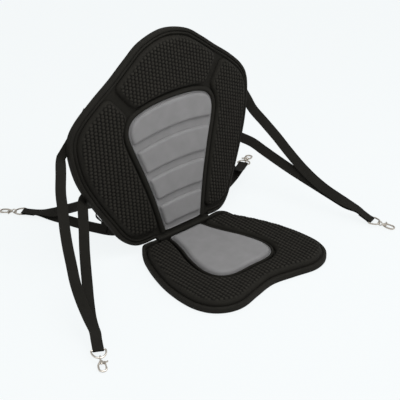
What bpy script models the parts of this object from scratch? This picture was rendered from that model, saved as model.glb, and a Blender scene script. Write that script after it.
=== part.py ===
"""Padded kayak seat with a fold-up backrest, four strap bridles and swivel snap hooks.

World frame: metres, +Z up. The cushion lies on Z = 0 with its front toward -Y, the
backrest leans toward +Y, and X = 0 is the middle of the seat. The origin is under the
middle of the seat, and the sizes below are measured from the foot of the backrest.
The backrest is drawn on a bowed sheet: u runs across, v up the sheet and t out of its
front, so each of its pieces is an outline in (u, v) with a height t above the sheet.
"""
import math

import bpy
import numpy as np
from mathutils import Matrix, Vector
from mathutils.geometry import delaunay_2d_cdt

# Clearances
GAP = 0.0003
BOWED_GAP = 0.0007
SEWN_GAP = 0.0006

# Foot of the backrest behind the origin
FOOT_Y = 0.1276

# Bowed sheet of the backrest
BACK_TILT = math.radians(7.2)
BACK_FOOT_HEIGHT = 0.020
BOW_AT_FOOT = 0.70
BOW_LOSS_WITH_HEIGHT = 0.93

# Backrest outline, right half, bottom middle to top middle, as (u, v)
BACK_HALF_OUTLINE = [
    (0.0, 0.0085), (0.050, 0.0085), (0.088, 0.0080), (0.116, 0.0055), (0.140, 0.0065), (0.162, 0.0165),
    (0.183, 0.038), (0.206, 0.076),
    (0.245, 0.143), (0.275, 0.210), (0.289, 0.280), (0.285, 0.325), (0.262, 0.361), (0.215, 0.402),
    (0.165, 0.438), (0.118, 0.474), (0.070, 0.505), (0.0, 0.520),
]
BACK_THICKNESS = 0.012
BACK_RIDGE_HEIGHT = 0.0040
BACK_RIDGE_WIDTH = 0.0065
RIDGE_GROOVE = 0.0015
RIDGE_FADE = 0.025
EDGE_POINTS = 92
BINDING_WIDTH = 0.0085
BINDING_BACK = 0.0105
BINDING_FRONT = 0.0045

# Textured pads of the backrest
PAD_INSET = 0.0195
PAD_HEIGHT = 0.0135
PAD_EDGE_HEIGHT = 0.0040
PAD_ROUNDING = 0.016
WING_FOOT = 0.032
CHANNEL_WIDTH = 0.020
CHANNEL_START = (0.127, 0.351)
CHANNEL_DIRECTION = (0.64, 0.77)
PAD_CORNER_ROUNDING = 0.045

# Grey panel of the backrest
PANEL_HALF_OUTLINE = [
    (0.0, 0.0215), (0.054, 0.0215), (0.0600, 0.030), (0.071, 0.078), (0.084, 0.129), (0.098, 0.174),
    (0.111, 0.213), (0.127, 0.258), (0.135, 0.292), (0.128, 0.318), (0.105, 0.335), (0.062, 0.346),
    (0.0, 0.350),
]
PANEL_POINTS = 60
PANEL_SKIN = 0.0035
LOBE_RISE = 0.0060
LOBE_MARGIN = 0.0045
LOBE_ROUNDING = 0.0055
LOBE_ARCH = 1.0
LOBE_BANDS = [(0.039, 0.095), (0.113, 0.174), (0.193, 0.258), (0.281, 0.400)]
RIM_BAND = 0.017
RIM_WIDTH = 0.0125
RIM_HEIGHT = 0.0075
RIM_FOOT = 0.0225

# Cushion outline, right half, rear middle to front middle, as (x, y)
SEAT_HALF_OUTLINE = [
    (0.0, 0.0045), (0.080, 0.0045), (0.108, 0.0075), (0.130, 0.0050), (0.149, -0.018), (0.167, -0.051),
    (0.188, -0.102), (0.205, -0.160), (0.213, -0.220), (0.210, -0.268), (0.193, -0.306), (0.160, -0.331),
    (0.118, -0.338), (0.062, -0.326),
    (0.0, -0.315),
]
SEAT_BASE_THICKNESS = 0.012
SEAT_PAD_TOP = 0.0290
SEAT_PAD_EDGE = 0.0175
SEAT_PAD_INSET = 0.0125
SEAT_PAD_ROUNDING = 0.014
SEAT_PAD_REAR = -0.0085
SEAT_EDGE_POINTS = 72
SEAT_BINDING_WIDTH = 0.0085
SEAT_BINDING_HEIGHT = 0.0150
SEAT_PANEL_HALF_OUTLINE = [
    (0.0, -0.0085), (0.046, -0.0085), (0.0530, -0.018), (0.058, -0.042), (0.068, -0.074), (0.083, -0.112),
    (0.094, -0.152), (0.098, -0.186), (0.091, -0.216), (0.070, -0.234), (0.040, -0.239), (0.0, -0.238),
]
SEAT_PANEL_TOP = 0.0285
SEAT_PANEL_FLANGE = 0.0035
SEAT_PANEL_EDGE = 0.0190
SEAT_RIM_BAND = 0.0115
SEAT_WELT_WIDTH = 0.0060
SEAT_WELT_HEIGHT = 0.0225

# Sewn hinge between backrest and cushion
HINGE_V = 0.0060
HINGE_T = 0.0040
HINGE_ROLL_RADIUS = 0.0042
HINGE_HALF_LENGTH = 0.080
HINGE_TONGUE_BACK = 0.0100
CUFF_THICKNESS = 0.0015
CUFF_FRONT_Y = -0.0074
CUFF_FRONT_ANGLE = 158.0
CUFF_REAR_ANGLE = 290.0

# Webbing
WEBBING_WIDTH = 0.025
WEBBING_THICKNESS = 0.0015
STATION_STEP = 0.014
STACK_LENGTH = 0.045
STACK_FLOAT = 0.0014
TAIL_LENGTH = 0.032
LOOP_PLAY = 0.0001
STACK_TURN = 0.090
SANDWICH_SHORT = 0.010
LOOP_CLOSE_SHARE = 0.85
FLAT_STEP = 0.020

# Spacing of surface points across and along a piece
BACK_LATTICE = (0.020, 0.050)
SEAT_LATTICE = (0.060, 0.060)

# Snap hook hardware
D_WIRE_RADIUS = 0.0021
D_INNER_WIDTH = 0.029
D_REACH = 0.024
D_CORNER_RADIUS = 0.0035
EYE_WIRE_RADIUS = 0.0015
EYE_HOLE_RADIUS = 0.0039
SHANK_RADIUS = 0.0016
BARREL_START = 0.0082
BARREL_END = 0.0146
BARREL_RADIUS = 0.0046
BARREL_CHAMFER = 0.0009
RIVET_RADIUS = 0.0030
RIVET_THICKNESS = 0.0016
RIVET_PLAY = 0.0004
HOOK_WIRE_RADIUS = 0.0023
HOOK_BEND_RADIUS = 0.0084
HOOK_BEND_X = 0.0300
HOOK_TIP_X = 0.0275
GATE_PIVOT = (0.0140, 0.0072)
GATE_THICKNESS = 0.0032
GATE_ARM_WIDTH = 0.0032
GATE_HUB_RADIUS = 0.0022
GATE_LEVER_TIP = (0.0108, 0.0145)
EAR_THICKNESS = 0.0013
EAR_RADIUS = 0.0025
PIN_RADIUS = 0.0008
FIT_CLEARANCE = 0.0003

# Free runs of webbing as (x, y, z), from the edge of the backrest to the snap hook
FRONT_UPPER_LEFT = [
    (-0.324, 0.061, 0.265), (-0.348, 0.033, 0.238), (-0.368, 0.002, 0.211), (-0.388, -0.028, 0.184),
    (-0.406, -0.059, 0.158), (-0.423, -0.092, 0.132), (-0.439, -0.124, 0.105), (-0.451, -0.158, 0.079),
    (-0.460, -0.192, 0.056),
]
FRONT_LOWER_LEFT = [
    (-0.278, 0.044, 0.160), (-0.308, 0.005, 0.140), (-0.339, -0.034, 0.120), (-0.369, -0.074, 0.101),
    (-0.398, -0.114, 0.083), (-0.427, -0.154, 0.067), (-0.453, -0.193, 0.0500),
]
FRONT_UPPER_RIGHT = [
    (0.307, 0.069, 0.237), (0.309, 0.026, 0.210), (0.312, -0.017, 0.182), (0.317, -0.054, 0.152),
    (0.324, -0.091, 0.122), (0.333, -0.126, 0.096), (0.345, -0.158, 0.074), (0.357, -0.189, 0.0575),
    (0.368, -0.214, 0.0455),
]
FRONT_LOWER_RIGHT = [
    (0.282, 0.041, 0.155), (0.291, 0.006, 0.140), (0.300, -0.029, 0.125), (0.310, -0.063, 0.110),
    (0.322, -0.095, 0.095), (0.335, -0.126, 0.080), (0.348, -0.157, 0.065), (0.361, -0.188, 0.0500),
    (0.371, -0.214, 0.0378),
]
REAR_UPPER_LEFT = [
    (-0.182, 0.066, 0.160), (-0.184, 0.092, 0.138), (-0.179, 0.118, 0.118), (-0.172, 0.150, 0.099),
    (-0.167, 0.179, 0.083), (-0.165, 0.204, 0.069), (-0.165, 0.228, 0.055), (-0.168, 0.250, 0.0430),
    (-0.174, 0.270, 0.0325), (-0.182, 0.290, 0.0235),
]
REAR_LOWER_LEFT = [
    (-0.143, 0.050, 0.058), (-0.146, 0.075, 0.045), (-0.145, 0.100, 0.033), (-0.145, 0.126, 0.0245),
    (-0.146, 0.149, 0.0190), (-0.149, 0.168, 0.0160), (-0.153, 0.185, 0.0142), (-0.158, 0.203, 0.0135),
    (-0.163, 0.222, 0.0130), (-0.168, 0.244, 0.0120), (-0.174, 0.268, 0.0108), (-0.181, 0.292, 0.0100),
]
REAR_UPPER_RIGHT = [
    (0.196, 0.064, 0.150), (0.220, 0.078, 0.123), (0.243, 0.091, 0.097), (0.265, 0.103, 0.073),
    (0.286, 0.115, 0.051), (0.305, 0.126, 0.0345), (0.323, 0.137, 0.0225),
]
REAR_LOWER_RIGHT = [
    (0.150, 0.044, 0.050), (0.172, 0.057, 0.036), (0.198, 0.073, 0.0245), (0.225, 0.089, 0.0172),
    (0.252, 0.104, 0.0135), (0.280, 0.118, 0.0110), (0.308, 0.132, 0.0098),
]
REAR_TAIL_LEFT = [
    (-0.1425, 0.1372, 0.0395), (-0.1490, 0.1395, 0.0480), (-0.1560, 0.1410, 0.0565), (-0.1605, 0.1420, 0.0655),
    (-0.1600, 0.1420, 0.0750),
]
TAIL_ROOT = (-0.1453, 0.1320, 0.0228)
TAIL_ROOT_LENGTH = 0.014
TAIL_GAP = 0.0012
TAIL_TURN = 0.025
TAIL_EDGE_WAY = (0.60, 0.64, -0.40)

# Bridles: bar of the D ring (x, y, z), heading of its hook, downward pitch of the hook, fall of
# the stacked webbing, the way its free webbing faces and the length in which it turns that way
BRIDLES = {
    "front_left": dict(bar=(-0.4884, -0.2585, 0.0165), heading=(-0.50, -0.866), pitch=12.0, fall=27.0,
                       facing=(-0.60, -0.62, 0.50), turn=0.050),
    "front_right": dict(bar=(0.3936, -0.2779, 0.0105), heading=(0.28, -0.96), pitch=5.5, fall=25.0,
                        facing=(-0.60, -0.62, 0.50), turn=0.050),
    "rear_left": dict(bar=(-0.220, 0.365, 0.0102), heading=(-0.55, 0.835), pitch=5.5, fall=0.0,
                      facing=(-0.75, -0.35, 0.56), turn=0.060),
    "rear_right": dict(bar=(0.3835, 0.172, 0.0102), heading=(0.88, 0.475), pitch=5.5, fall=0.0,
                       facing=(0.0, 0.0, 1.0), turn=0.160),
}

# Where each webbing is sewn to the rear of the backrest: start (u, v), direction and flat length
ANCHORS = {
    "front_left": dict(upper=((0.226, 0.378), (0.62, -0.78), 0.125),
                       lower=((0.200, 0.228), (0.66, -0.75), 0.092)),
    "front_right": dict(upper=((0.222, 0.366), (0.62, -0.78), 0.125),
                        lower=((0.200, 0.228), (0.66, -0.75), 0.092)),
    "rear_left": dict(upper=((0.114, 0.202), (0.80, -0.60), 0.070),
                      lower=((0.067, 0.080), (0.90, -0.436), 0.070)),
    "rear_right": dict(upper=((0.114, 0.202), (0.80, -0.60), 0.070),
                       lower=((0.074, 0.092), (0.80, -0.60), 0.070)),
}

BLACK_FABRIC = ((0.016, 0.016, 0.015), 0.85, 0.0)
GREY_FABRIC = ((0.215, 0.215, 0.220), 0.80, 0.0)
BLACK_WEBBING = ((0.014, 0.014, 0.013), 0.75, 0.0)
NICKEL = ((0.62, 0.58, 0.52), 0.28, 1.0)


def clear_scene():
    """Remove everything a new file starts with."""
    for old in list(bpy.data.objects):
        bpy.data.objects.remove(old, do_unlink=True)


def add_object(name, vertices, faces, finish, smooth=35.0):
    """One closed mesh object with its own Principled material."""
    mesh = bpy.data.meshes.new(name)
    mesh.from_pydata([tuple(map(float, v)) for v in vertices], [], [tuple(f) for f in faces])
    mesh.update()
    mesh.shade_smooth()
    mesh.set_sharp_from_angle(angle=math.radians(smooth))
    made = bpy.data.objects.new(name, mesh)
    bpy.context.collection.objects.link(made)
    colour, roughness, metallic = finish
    material = bpy.data.materials.new(name)
    material.use_nodes = True
    shader = material.node_tree.nodes["Principled BSDF"]
    shader.inputs["Base Color"].default_value = (*colour, 1.0)
    shader.inputs["Roughness"].default_value = roughness
    shader.inputs["Metallic"].default_value = metallic
    mesh.materials.append(material)
    return made


def bow(v):
    """How much the sheet falls back with the square of u, at height v."""
    return BOW_AT_FOOT - BOW_LOSS_WITH_HEIGHT * v


def in_frame(points):
    """World points of ones measured from the foot of the backrest."""
    return np.asarray(points, float) + (0.0, FOOT_Y, 0.0)


def on_back(u, v, t):
    """World points of the bowed sheet at (u, v), t in front of it."""
    u, v, t = np.broadcast_arrays(np.asarray(u, float), np.asarray(v, float), np.asarray(t, float))
    front = t - bow(v) * u * u
    y = v * math.sin(BACK_TILT) - front * math.cos(BACK_TILT)
    z = BACK_FOOT_HEIGHT + v * math.cos(BACK_TILT) + front * math.sin(BACK_TILT)
    return in_frame(np.stack([u, y, z], axis=-1))


def on_floor(x, y, z):
    """World points of the cushion, which is drawn flat."""
    x, y, z = np.broadcast_arrays(np.asarray(x, float), np.asarray(y, float), np.asarray(z, float))
    return in_frame(np.stack([x, y, z], axis=-1))


def resampled(loop, count):
    """The closed polyline with count points at equal spacing, from the same first point."""
    closed = np.vstack([loop, loop[:1]])
    along = np.concatenate([[0.0], np.cumsum(np.linalg.norm(np.diff(closed, axis=0), axis=1))])
    stations = np.linspace(0.0, along[-1], count, endpoint=False)
    return np.stack([np.interp(stations, along, closed[:, k]) for k in range(loop.shape[1])], axis=1)


def catmull_rom(points, steps, closed):
    """Smooth curve through the points, with steps samples on each span."""
    points = np.asarray(points, float)
    if closed:
        padded = np.vstack([points[-1:], points, points[:2]])
    else:
        padded = np.vstack([2 * points[0] - points[1], points, 2 * points[-1] - points[-2]])
    s = np.linspace(0.0, 1.0, steps, endpoint=False)[:, None]
    spans = []
    for a, b, c, d in zip(padded[:-3], padded[1:-2], padded[2:-1], padded[3:]):
        spans.append(0.5 * (2 * b + (c - a) * s + (2 * a - 5 * b + 4 * c - d) * s ** 2
                            + (3 * b - a - 3 * c + d) * s ** 3))
    if not closed:
        spans.append(points[-1:])
    return np.vstack(spans)


def mirrored_loop(half, count, clockwise_half):
    """Closed counterclockwise outline from its half with x >= 0, starting at the first point."""
    half = np.asarray(half, float)
    inner = half[1:-1]
    loop = np.vstack([half[:1], inner, half[-1:], (inner * (-1, 1))[::-1]])
    if clockwise_half:
        loop = np.vstack([loop[:1], loop[1:][::-1]])
    return resampled(catmull_rom(loop, 12, True), count)


def offset_loop(loop, distance):
    """The closed counterclockwise outline moved inward by distance, outward if negative."""
    tangent = np.roll(loop, -1, axis=0) - np.roll(loop, 1, axis=0)
    tangent /= np.linalg.norm(tangent, axis=1)[:, None]
    return loop + distance * np.stack([-tangent[:, 1], tangent[:, 0]], axis=1)


def softened(loop, length, count):
    """The closed outline with its corners rounded by averaging over a length of it."""
    step = 0.002
    size = np.linalg.norm(np.diff(np.vstack([loop, loop[:1]]), axis=0), axis=1).sum()
    fine = resampled(loop, max(int(size / step), 8))
    reach = max(int(length / step / 2), 1)
    total = sum(np.roll(fine, k, axis=0) for k in range(-reach, reach + 1))
    return resampled(total / (2 * reach + 1), count)


def edge_distance(points, loop):
    """Distance of each point from the closed polyline."""
    start = loop
    span = np.roll(loop, -1, axis=0) - start
    along = ((points[:, None] - start) * span).sum(2) / np.maximum((span * span).sum(1), 1e-18)
    nearest = start + np.clip(along, 0.0, 1.0)[:, :, None] * span
    return np.linalg.norm(points[:, None] - nearest, axis=2).min(axis=1)


def inside(points, loop):
    """Whether each point lies in the closed polyline, by counting crossings."""
    a = loop
    b = np.roll(loop, -1, axis=0)
    x, y = points[:, :1], points[:, 1:]
    crosses = (a[:, 1] > y) != (b[:, 1] > y)
    rise = np.where(np.abs(b[:, 1] - a[:, 1]) < 1e-15, 1e-15, b[:, 1] - a[:, 1])
    hit = a[:, 0] + (y - a[:, 1]) * (b[:, 0] - a[:, 0]) / rise
    return (crosses & (x < hit)).sum(1) % 2 == 1


def triangulated(outline, guides, spacing):
    """Triangles over an outline, following the guide loops, with a lattice between them."""
    low, high = outline.min(0), outline.max(0)
    xs = np.arange(low[0] + spacing[0] / 2, high[0], spacing[0])
    ys = np.arange(low[1] + spacing[1] / 2, high[1], spacing[1])
    lattice = np.stack(np.meshgrid(xs, ys), axis=-1).reshape(-1, 2)
    lattice = lattice[inside(lattice, outline)]
    for loop in [outline, *guides]:
        lattice = lattice[edge_distance(lattice, loop) > min(spacing) * 0.35]
    points = [outline]
    edges = []
    start = len(outline)
    for loop in guides:
        count = len(loop)
        points.append(loop)
        edges += [(start + k, start + (k + 1) % count) for k in range(count)]
        start += count
    points = np.vstack(points + [lattice])
    face = [list(range(len(outline)))]
    made = delaunay_2d_cdt([Vector(p) for p in points], edges, face, 1, 1e-7)
    flat = np.array([tuple(v) for v in made[0]])
    triangles = [tuple(f) for f in made[2]]
    rim = {}
    for index, origins in enumerate(made[3]):
        for origin in origins:
            if origin < len(outline):
                rim[origin] = index
    return flat, triangles, [rim[k] for k in range(len(outline))]


def slab(name, outline, place, low, high, finish, guides=(), spacing=BACK_LATTICE):
    """Closed solid over an outline: low and high give its heights at points of the plane."""
    top, top_faces, top_rim = triangulated(outline, guides, spacing)
    under, under_faces, under_rim = triangulated(outline, (), spacing)
    top_points = place(top[:, 0], top[:, 1], high(top))
    under_points = place(under[:, 0], under[:, 1], low(under))
    shift = len(top)
    faces = list(top_faces)
    faces += [tuple(shift + k for k in face[::-1]) for face in under_faces]
    count = len(outline)
    for k in range(count):
        n = (k + 1) % count
        faces.append((shift + under_rim[k], shift + under_rim[n], top_rim[n], top_rim[k]))
    return add_object(name, np.vstack([top_points, under_points]), faces, finish)


def level(height):
    """A height that is the same everywhere."""
    return lambda points: np.full(len(points), height)


def pillow(outline, edge, full, rounding):
    """A height that rises from edge at the outline to full, on a quarter round."""
    def height(points):
        share = np.clip(edge_distance(points, outline) / rounding, 0.0, 1.0)
        return edge + (full - edge) * np.sqrt(1.0 - (1.0 - share) ** 2)
    return height


def strip(name, path, place, profile, closed, finish):
    """A band along a path in the plane; profile lists (inset, height) around its section."""
    if closed:
        tangent = np.roll(path, -1, axis=0) - np.roll(path, 1, axis=0)
    else:
        tangent = np.gradient(path, axis=0)
    tangent /= np.linalg.norm(tangent, axis=1)[:, None]
    inward = np.stack([-tangent[:, 1], tangent[:, 0]], axis=1)
    sides = len(profile)
    rings = []
    for inset, height in profile:
        spot = path + inward * inset
        rings.append(place(spot[:, 0], spot[:, 1], height))
    vertices = np.stack(rings, axis=1).reshape(-1, 3)
    count = len(path)
    faces = []
    for k in range(count if closed else count - 1):
        n = (k + 1) % count
        for s in range(sides):
            r = (s + 1) % sides
            faces.append((k * sides + s, k * sides + r, n * sides + r, n * sides + s))
    if not closed:
        faces.append(tuple(range(sides))[::-1])
        faces.append(tuple((count - 1) * sides + s for s in range(sides)))
    return add_object(name, vertices, faces, finish)


def round_profile(width, low, high, sides):
    """Section of a band with rounded corners, counterclockwise seen along the band."""
    turns = (np.arange(sides) + 0.5) * 2 * math.pi / sides
    bulge = 0.5
    across = np.sign(np.cos(turns)) * np.abs(np.cos(turns)) ** bulge
    up = np.sign(np.sin(turns)) * np.abs(np.sin(turns)) ** bulge
    across /= np.abs(across).max()
    up /= np.abs(up).max()
    return [(width / 2 * (1 + a), (low + high) / 2 + (high - low) / 2 * b) for a, b in zip(across, up)]


def open_part(loop, keep):
    """The stretch of a closed loop whose points pass the test, in order along the loop."""
    chosen = keep(loop)
    first = int(np.flatnonzero(chosen & ~np.roll(chosen, 1))[0])
    turned = np.roll(loop, -first, axis=0)
    return turned[:int(chosen.sum())]


def lower_half(v):
    """Whether a height on the sheet is below the middle of the backrest."""
    return v < BACK_HALF_OUTLINE[-1][1] / 2


def back_outlines():
    """Outlines of the backrest's pieces in (u, v)."""
    edge = mirrored_loop(BACK_HALF_OUTLINE, 288, False)
    panel = mirrored_loop(PANEL_HALF_OUTLINE, 216, False)
    pad_limit = offset_loop(edge, PAD_INSET)
    rim_limit = offset_loop(panel, -RIM_BAND)
    return edge, panel, pad_limit, rim_limit


def above_channel(points, side):
    """Signed distance of points from the channel on one side, positive toward the top pad."""
    away = points * (side, 1) - CHANNEL_START
    run = np.array(CHANNEL_DIRECTION) / np.hypot(*CHANNEL_DIRECTION)
    return run[0] * away[:, 1] - run[1] * away[:, 0]


def make_back_shell(edge):
    """Foam body of the backrest with its cover and the raised ridge near its edge."""
    outline = offset_loop(resampled(edge, EDGE_POINTS), BINDING_WIDTH + GAP)
    start = RIDGE_GROOVE
    steps = (start, start + 0.3 * BACK_RIDGE_WIDTH, start + 0.7 * BACK_RIDGE_WIDTH, start + BACK_RIDGE_WIDTH)
    guides = [resampled(offset_loop(edge, BINDING_WIDTH + GAP + step), 72) for step in steps]

    def front(points):
        depth = edge_distance(points, outline) - start
        share = np.clip(depth / BACK_RIDGE_WIDTH, 0.0, 1.0)
        rise = BACK_RIDGE_HEIGHT * np.minimum(1.0, 3.3 * np.minimum(share, 1.0 - share))
        beside = np.clip((np.abs(points[:, 0]) - HINGE_HALF_LENGTH) / RIDGE_FADE, 0.0, 1.0)
        return rise * np.where(lower_half(points[:, 1]), beside, 1.0)

    return slab("back_shell", outline, on_back, level(-BACK_THICKNESS), front, BLACK_FABRIC, guides)


def make_back_binding(edge):
    """Binding tape around the backrest, open where the hinge is sewn in."""
    hinge_end = HINGE_HALF_LENGTH + BINDING_WIDTH
    path = resampled(edge, EDGE_POINTS)
    path = open_part(path, lambda p: (np.abs(p[:, 0]) > hinge_end) | ~lower_half(p[:, 1]))
    profile = round_profile(BINDING_WIDTH, -BINDING_BACK, BINDING_FRONT, 8)
    return strip("back_binding", path, on_back, profile, False, BLACK_FABRIC)


def make_back_pads(pad_limit, rim_limit):
    """Three textured pads: one across the top and one on each wing."""
    half = CHANNEL_WIDTH / 2
    over = open_part(pad_limit, lambda p: (above_channel(p, 1) > half) & (above_channel(p, -1) > half))
    under = open_part(rim_limit, lambda p: (above_channel(p, 1) > half) & (above_channel(p, -1) > half))
    top = softened(np.vstack([over, under[::-1]]), PAD_CORNER_ROUNDING, 56)

    def beside(p):
        return (p[:, 0] > 0) & (above_channel(p, 1) < -half) & (p[:, 1] > WING_FOOT)

    outer = open_part(pad_limit, beside)
    inner = open_part(rim_limit, beside)
    right = softened(np.vstack([outer, inner[::-1]]), PAD_CORNER_ROUNDING, 64)
    left = (right * (-1, 1))[::-1]
    for name, outline in (("back_pad_top", top), ("back_pad_left", left), ("back_pad_right", right)):
        guides = [resampled(offset_loop(outline, PAD_ROUNDING * share), count)
                  for share, count in ((0.18, 52), (0.55, 40), (1.0, 30))]
        high = pillow(outline, PAD_EDGE_HEIGHT, PAD_HEIGHT, PAD_ROUNDING)
        slab(name, outline, on_back, level(BOWED_GAP), high, BLACK_FABRIC, guides)


def lobe_outline(border, low, high):
    """Outline of one raised lobe between two arched lines inside the panel's border."""
    arched = border[:, 1] + LOBE_ARCH * border[:, 0] ** 2
    between = (arched > low) & (arched < high)
    right = border[between & (border[:, 0] > 0)]
    left = border[between & (border[:, 0] < 0)]
    right = right[np.argsort(right[:, 1])]
    left = left[np.argsort(-left[:, 1])]
    foot_u = np.linspace(left[-1, 0], right[0, 0], 9)[1:-1]
    foot = np.stack([foot_u, low - LOBE_ARCH * foot_u ** 2], axis=1)
    parts = [foot, right]
    if high < arched.max():
        head_u = np.linspace(right[-1, 0], left[0, 0], 9)[1:-1]
        parts.append(np.stack([head_u, high - LOBE_ARCH * head_u ** 2], axis=1))
    return softened(np.vstack(parts + [left]), LOBE_ROUNDING * 1.5, 34)


def make_back_panel(panel):
    """Grey panel with four raised lobes over a thin skin."""
    outline = resampled(panel, PANEL_POINTS)
    border = offset_loop(panel, LOBE_MARGIN)
    lobes = [lobe_outline(border, low, high) for low, high in LOBE_BANDS]
    guides = []
    for lobe in lobes:
        guides += [lobe, resampled(offset_loop(lobe, LOBE_ROUNDING), 26)]

    def high(points):
        height = np.full(len(points), BOWED_GAP + PANEL_SKIN)
        for lobe in lobes:
            share = np.clip(edge_distance(points, lobe) / LOBE_ROUNDING, 0.0, 1.0)
            rise = LOBE_RISE * np.sqrt(1.0 - (1.0 - share) ** 2)
            height += np.where(inside(points, lobe), rise, 0.0)
        return height

    return slab("back_panel", outline, on_back, level(BOWED_GAP), high, GREY_FABRIC, guides)


def make_back_panel_rim(panel):
    """Smooth raised rim along the sides and top of the grey panel."""
    path = offset_loop(resampled(panel, PANEL_POINTS), -RIM_WIDTH - BOWED_GAP)
    path = open_part(path, lambda p: p[:, 1] > RIM_FOOT)
    profile = round_profile(RIM_WIDTH, BOWED_GAP, RIM_HEIGHT, 8)
    return strip("back_panel_rim", path, on_back, profile, False, BLACK_FABRIC)


def seat_outlines():
    """Outlines of the cushion's pieces in (x, y)."""
    edge = mirrored_loop(SEAT_HALF_OUTLINE, 288, True)
    panel = mirrored_loop(SEAT_PANEL_HALF_OUTLINE, 216, True)
    return edge, panel


def make_seat_base(edge):
    """Foam base of the cushion, which lies on the floor."""
    outline = offset_loop(resampled(edge, SEAT_EDGE_POINTS), SEAT_BINDING_WIDTH + GAP)
    return slab("seat_base", outline, on_floor, level(0.0), level(SEAT_BASE_THICKNESS), BLACK_FABRIC,
                spacing=SEAT_LATTICE)


def make_seat_binding(edge):
    """Binding tape around the cushion."""
    path = resampled(edge, SEAT_EDGE_POINTS)
    profile = round_profile(SEAT_BINDING_WIDTH, 0.0005, SEAT_BINDING_HEIGHT, 8)
    return strip("seat_binding", path, on_floor, profile, True, BLACK_FABRIC)


def make_seat_pad(edge, panel):
    """Textured pad that runs round the grey panel like a horseshoe."""
    outer = open_part(offset_loop(edge, SEAT_PAD_INSET), lambda p: p[:, 1] < SEAT_PAD_REAR)
    inner = open_part(offset_loop(panel, -SEAT_RIM_BAND), lambda p: p[:, 1] < SEAT_PAD_REAR)
    outline = softened(np.vstack([outer, inner[::-1]]), 0.018, 96)
    guides = [resampled(offset_loop(outline, SEAT_PAD_ROUNDING * share), count)
              for share, count in ((0.2, 90), (0.6, 76), (1.0, 60))]
    high = pillow(outline, SEAT_PAD_EDGE, SEAT_PAD_TOP, SEAT_PAD_ROUNDING)
    return slab("seat_pad", outline, on_floor, level(SEAT_BASE_THICKNESS + GAP), high, BLACK_FABRIC,
                guides, spacing=SEAT_LATTICE)


def make_seat_panel(panel):
    """Grey panel of the cushion: a thin flange round a raised middle."""
    outline = resampled(panel, PANEL_POINTS)
    raised = offset_loop(outline, SEAT_PANEL_FLANGE)
    guides = [resampled(raised, 56), resampled(offset_loop(outline, SEAT_PANEL_FLANGE + 0.004), 48),
              resampled(offset_loop(outline, SEAT_PANEL_FLANGE + 0.012), 36)]

    def high(points):
        depth = np.clip((edge_distance(points, outline) - SEAT_PANEL_FLANGE) / 0.012, 0.0, 1.0)
        return SEAT_PANEL_EDGE + (SEAT_PANEL_TOP - SEAT_PANEL_EDGE) * np.sqrt(1.0 - (1.0 - depth) ** 2)

    return slab("seat_panel", outline, on_floor, level(SEAT_BASE_THICKNESS + GAP), high, GREY_FABRIC,
                guides, spacing=SEAT_LATTICE)


def make_seat_panel_welt(panel):
    """Piped welt along the sides and front of the cushion's grey panel."""
    path = offset_loop(resampled(panel, PANEL_POINTS), -SEAT_WELT_WIDTH - GAP)
    path = open_part(path, lambda p: p[:, 1] < SEAT_PAD_REAR - 0.012)
    profile = round_profile(SEAT_WELT_WIDTH, SEAT_BASE_THICKNESS + GAP, SEAT_WELT_HEIGHT, 6)
    return strip("seat_panel_welt", path, on_floor, profile, False, BLACK_FABRIC)


def hinge_axis():
    """A point on the sewn fold line, which runs along X."""
    return on_back(0.0, HINGE_V, HINGE_T)


def make_hinge_roll():
    """Rolled seam on the fold line with its tongue sewn up into the backrest."""
    stations = np.linspace(-HINGE_HALF_LENGTH, HINGE_HALF_LENGTH, 13)
    top = BACK_HALF_OUTLINE[0][1] + BINDING_WIDTH - GAP
    front = -0.0015
    reach = (top - HINGE_V) * 0.55
    wrap = np.radians(np.linspace(205.0, -25.0 + 360.0 + 125.0, 9))
    roll = [(HINGE_T + HINGE_ROLL_RADIUS * math.cos(a), HINGE_V + HINGE_ROLL_RADIUS * math.sin(a))
            for a in wrap]
    tongue = [(front, HINGE_V + reach), (front, top), (-HINGE_TONGUE_BACK, top),
              (-HINGE_TONGUE_BACK, HINGE_V + reach * 0.7)]
    section = roll + tongue
    bowed = np.array([0.0] * len(roll) + [1.0] * len(tongue))
    t = np.array([p[0] for p in section])
    v = np.array([p[1] for p in section])
    rings = [on_back(u, v, t + (1.0 - bowed) * bow(v) * u * u) for u in stations]
    sides = len(section)
    faces = []
    for k in range(len(stations) - 1):
        for s in range(sides):
            r = (s + 1) % sides
            faces.append((k * sides + r, k * sides + s, (k + 1) * sides + s, (k + 1) * sides + r))
    faces.append(tuple(range(sides)))
    faces.append(tuple((len(stations) - 1) * sides + s for s in range(sides))[::-1])
    return add_object("hinge_roll", np.vstack(rings), faces, BLACK_FABRIC)


def make_hinge_cuff():
    """Fabric cuff along the cushion's rear edge, in which the rolled seam turns."""
    inner = HINGE_ROLL_RADIUS + GAP
    outer = inner + CUFF_THICKNESS
    _, axis_y, axis_z = hinge_axis() - (0.0, FOOT_Y, 0.0)
    turns = np.radians(np.linspace(CUFF_REAR_ANGLE, CUFF_FRONT_ANGLE, 8))
    section = [(axis_y + inner * math.cos(a), axis_z + inner * math.sin(a)) for a in turns]
    section += [(axis_y + outer * math.cos(a), axis_z + outer * math.sin(a)) for a in turns[:-3:-1]]
    foot = SEAT_BINDING_HEIGHT + GAP
    section += [(CUFF_FRONT_Y, axis_z - outer * 0.5), (CUFF_FRONT_Y, foot),
                (axis_y + outer * 0.5, foot), (axis_y + outer * 0.5, axis_z - outer * 0.87)]
    half = HINGE_HALF_LENGTH - BINDING_WIDTH / 2
    rings = [on_floor(x, [p[0] for p in section], [p[1] for p in section]) for x in (-half, half)]
    sides = len(section)
    faces = [(s, (s + 1) % sides, sides + (s + 1) % sides, sides + s) for s in range(sides)]
    faces += [tuple(range(sides))[::-1], tuple(range(sides, 2 * sides))]
    return add_object("hinge_cuff", np.vstack(rings), faces, BLACK_FABRIC)


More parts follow.
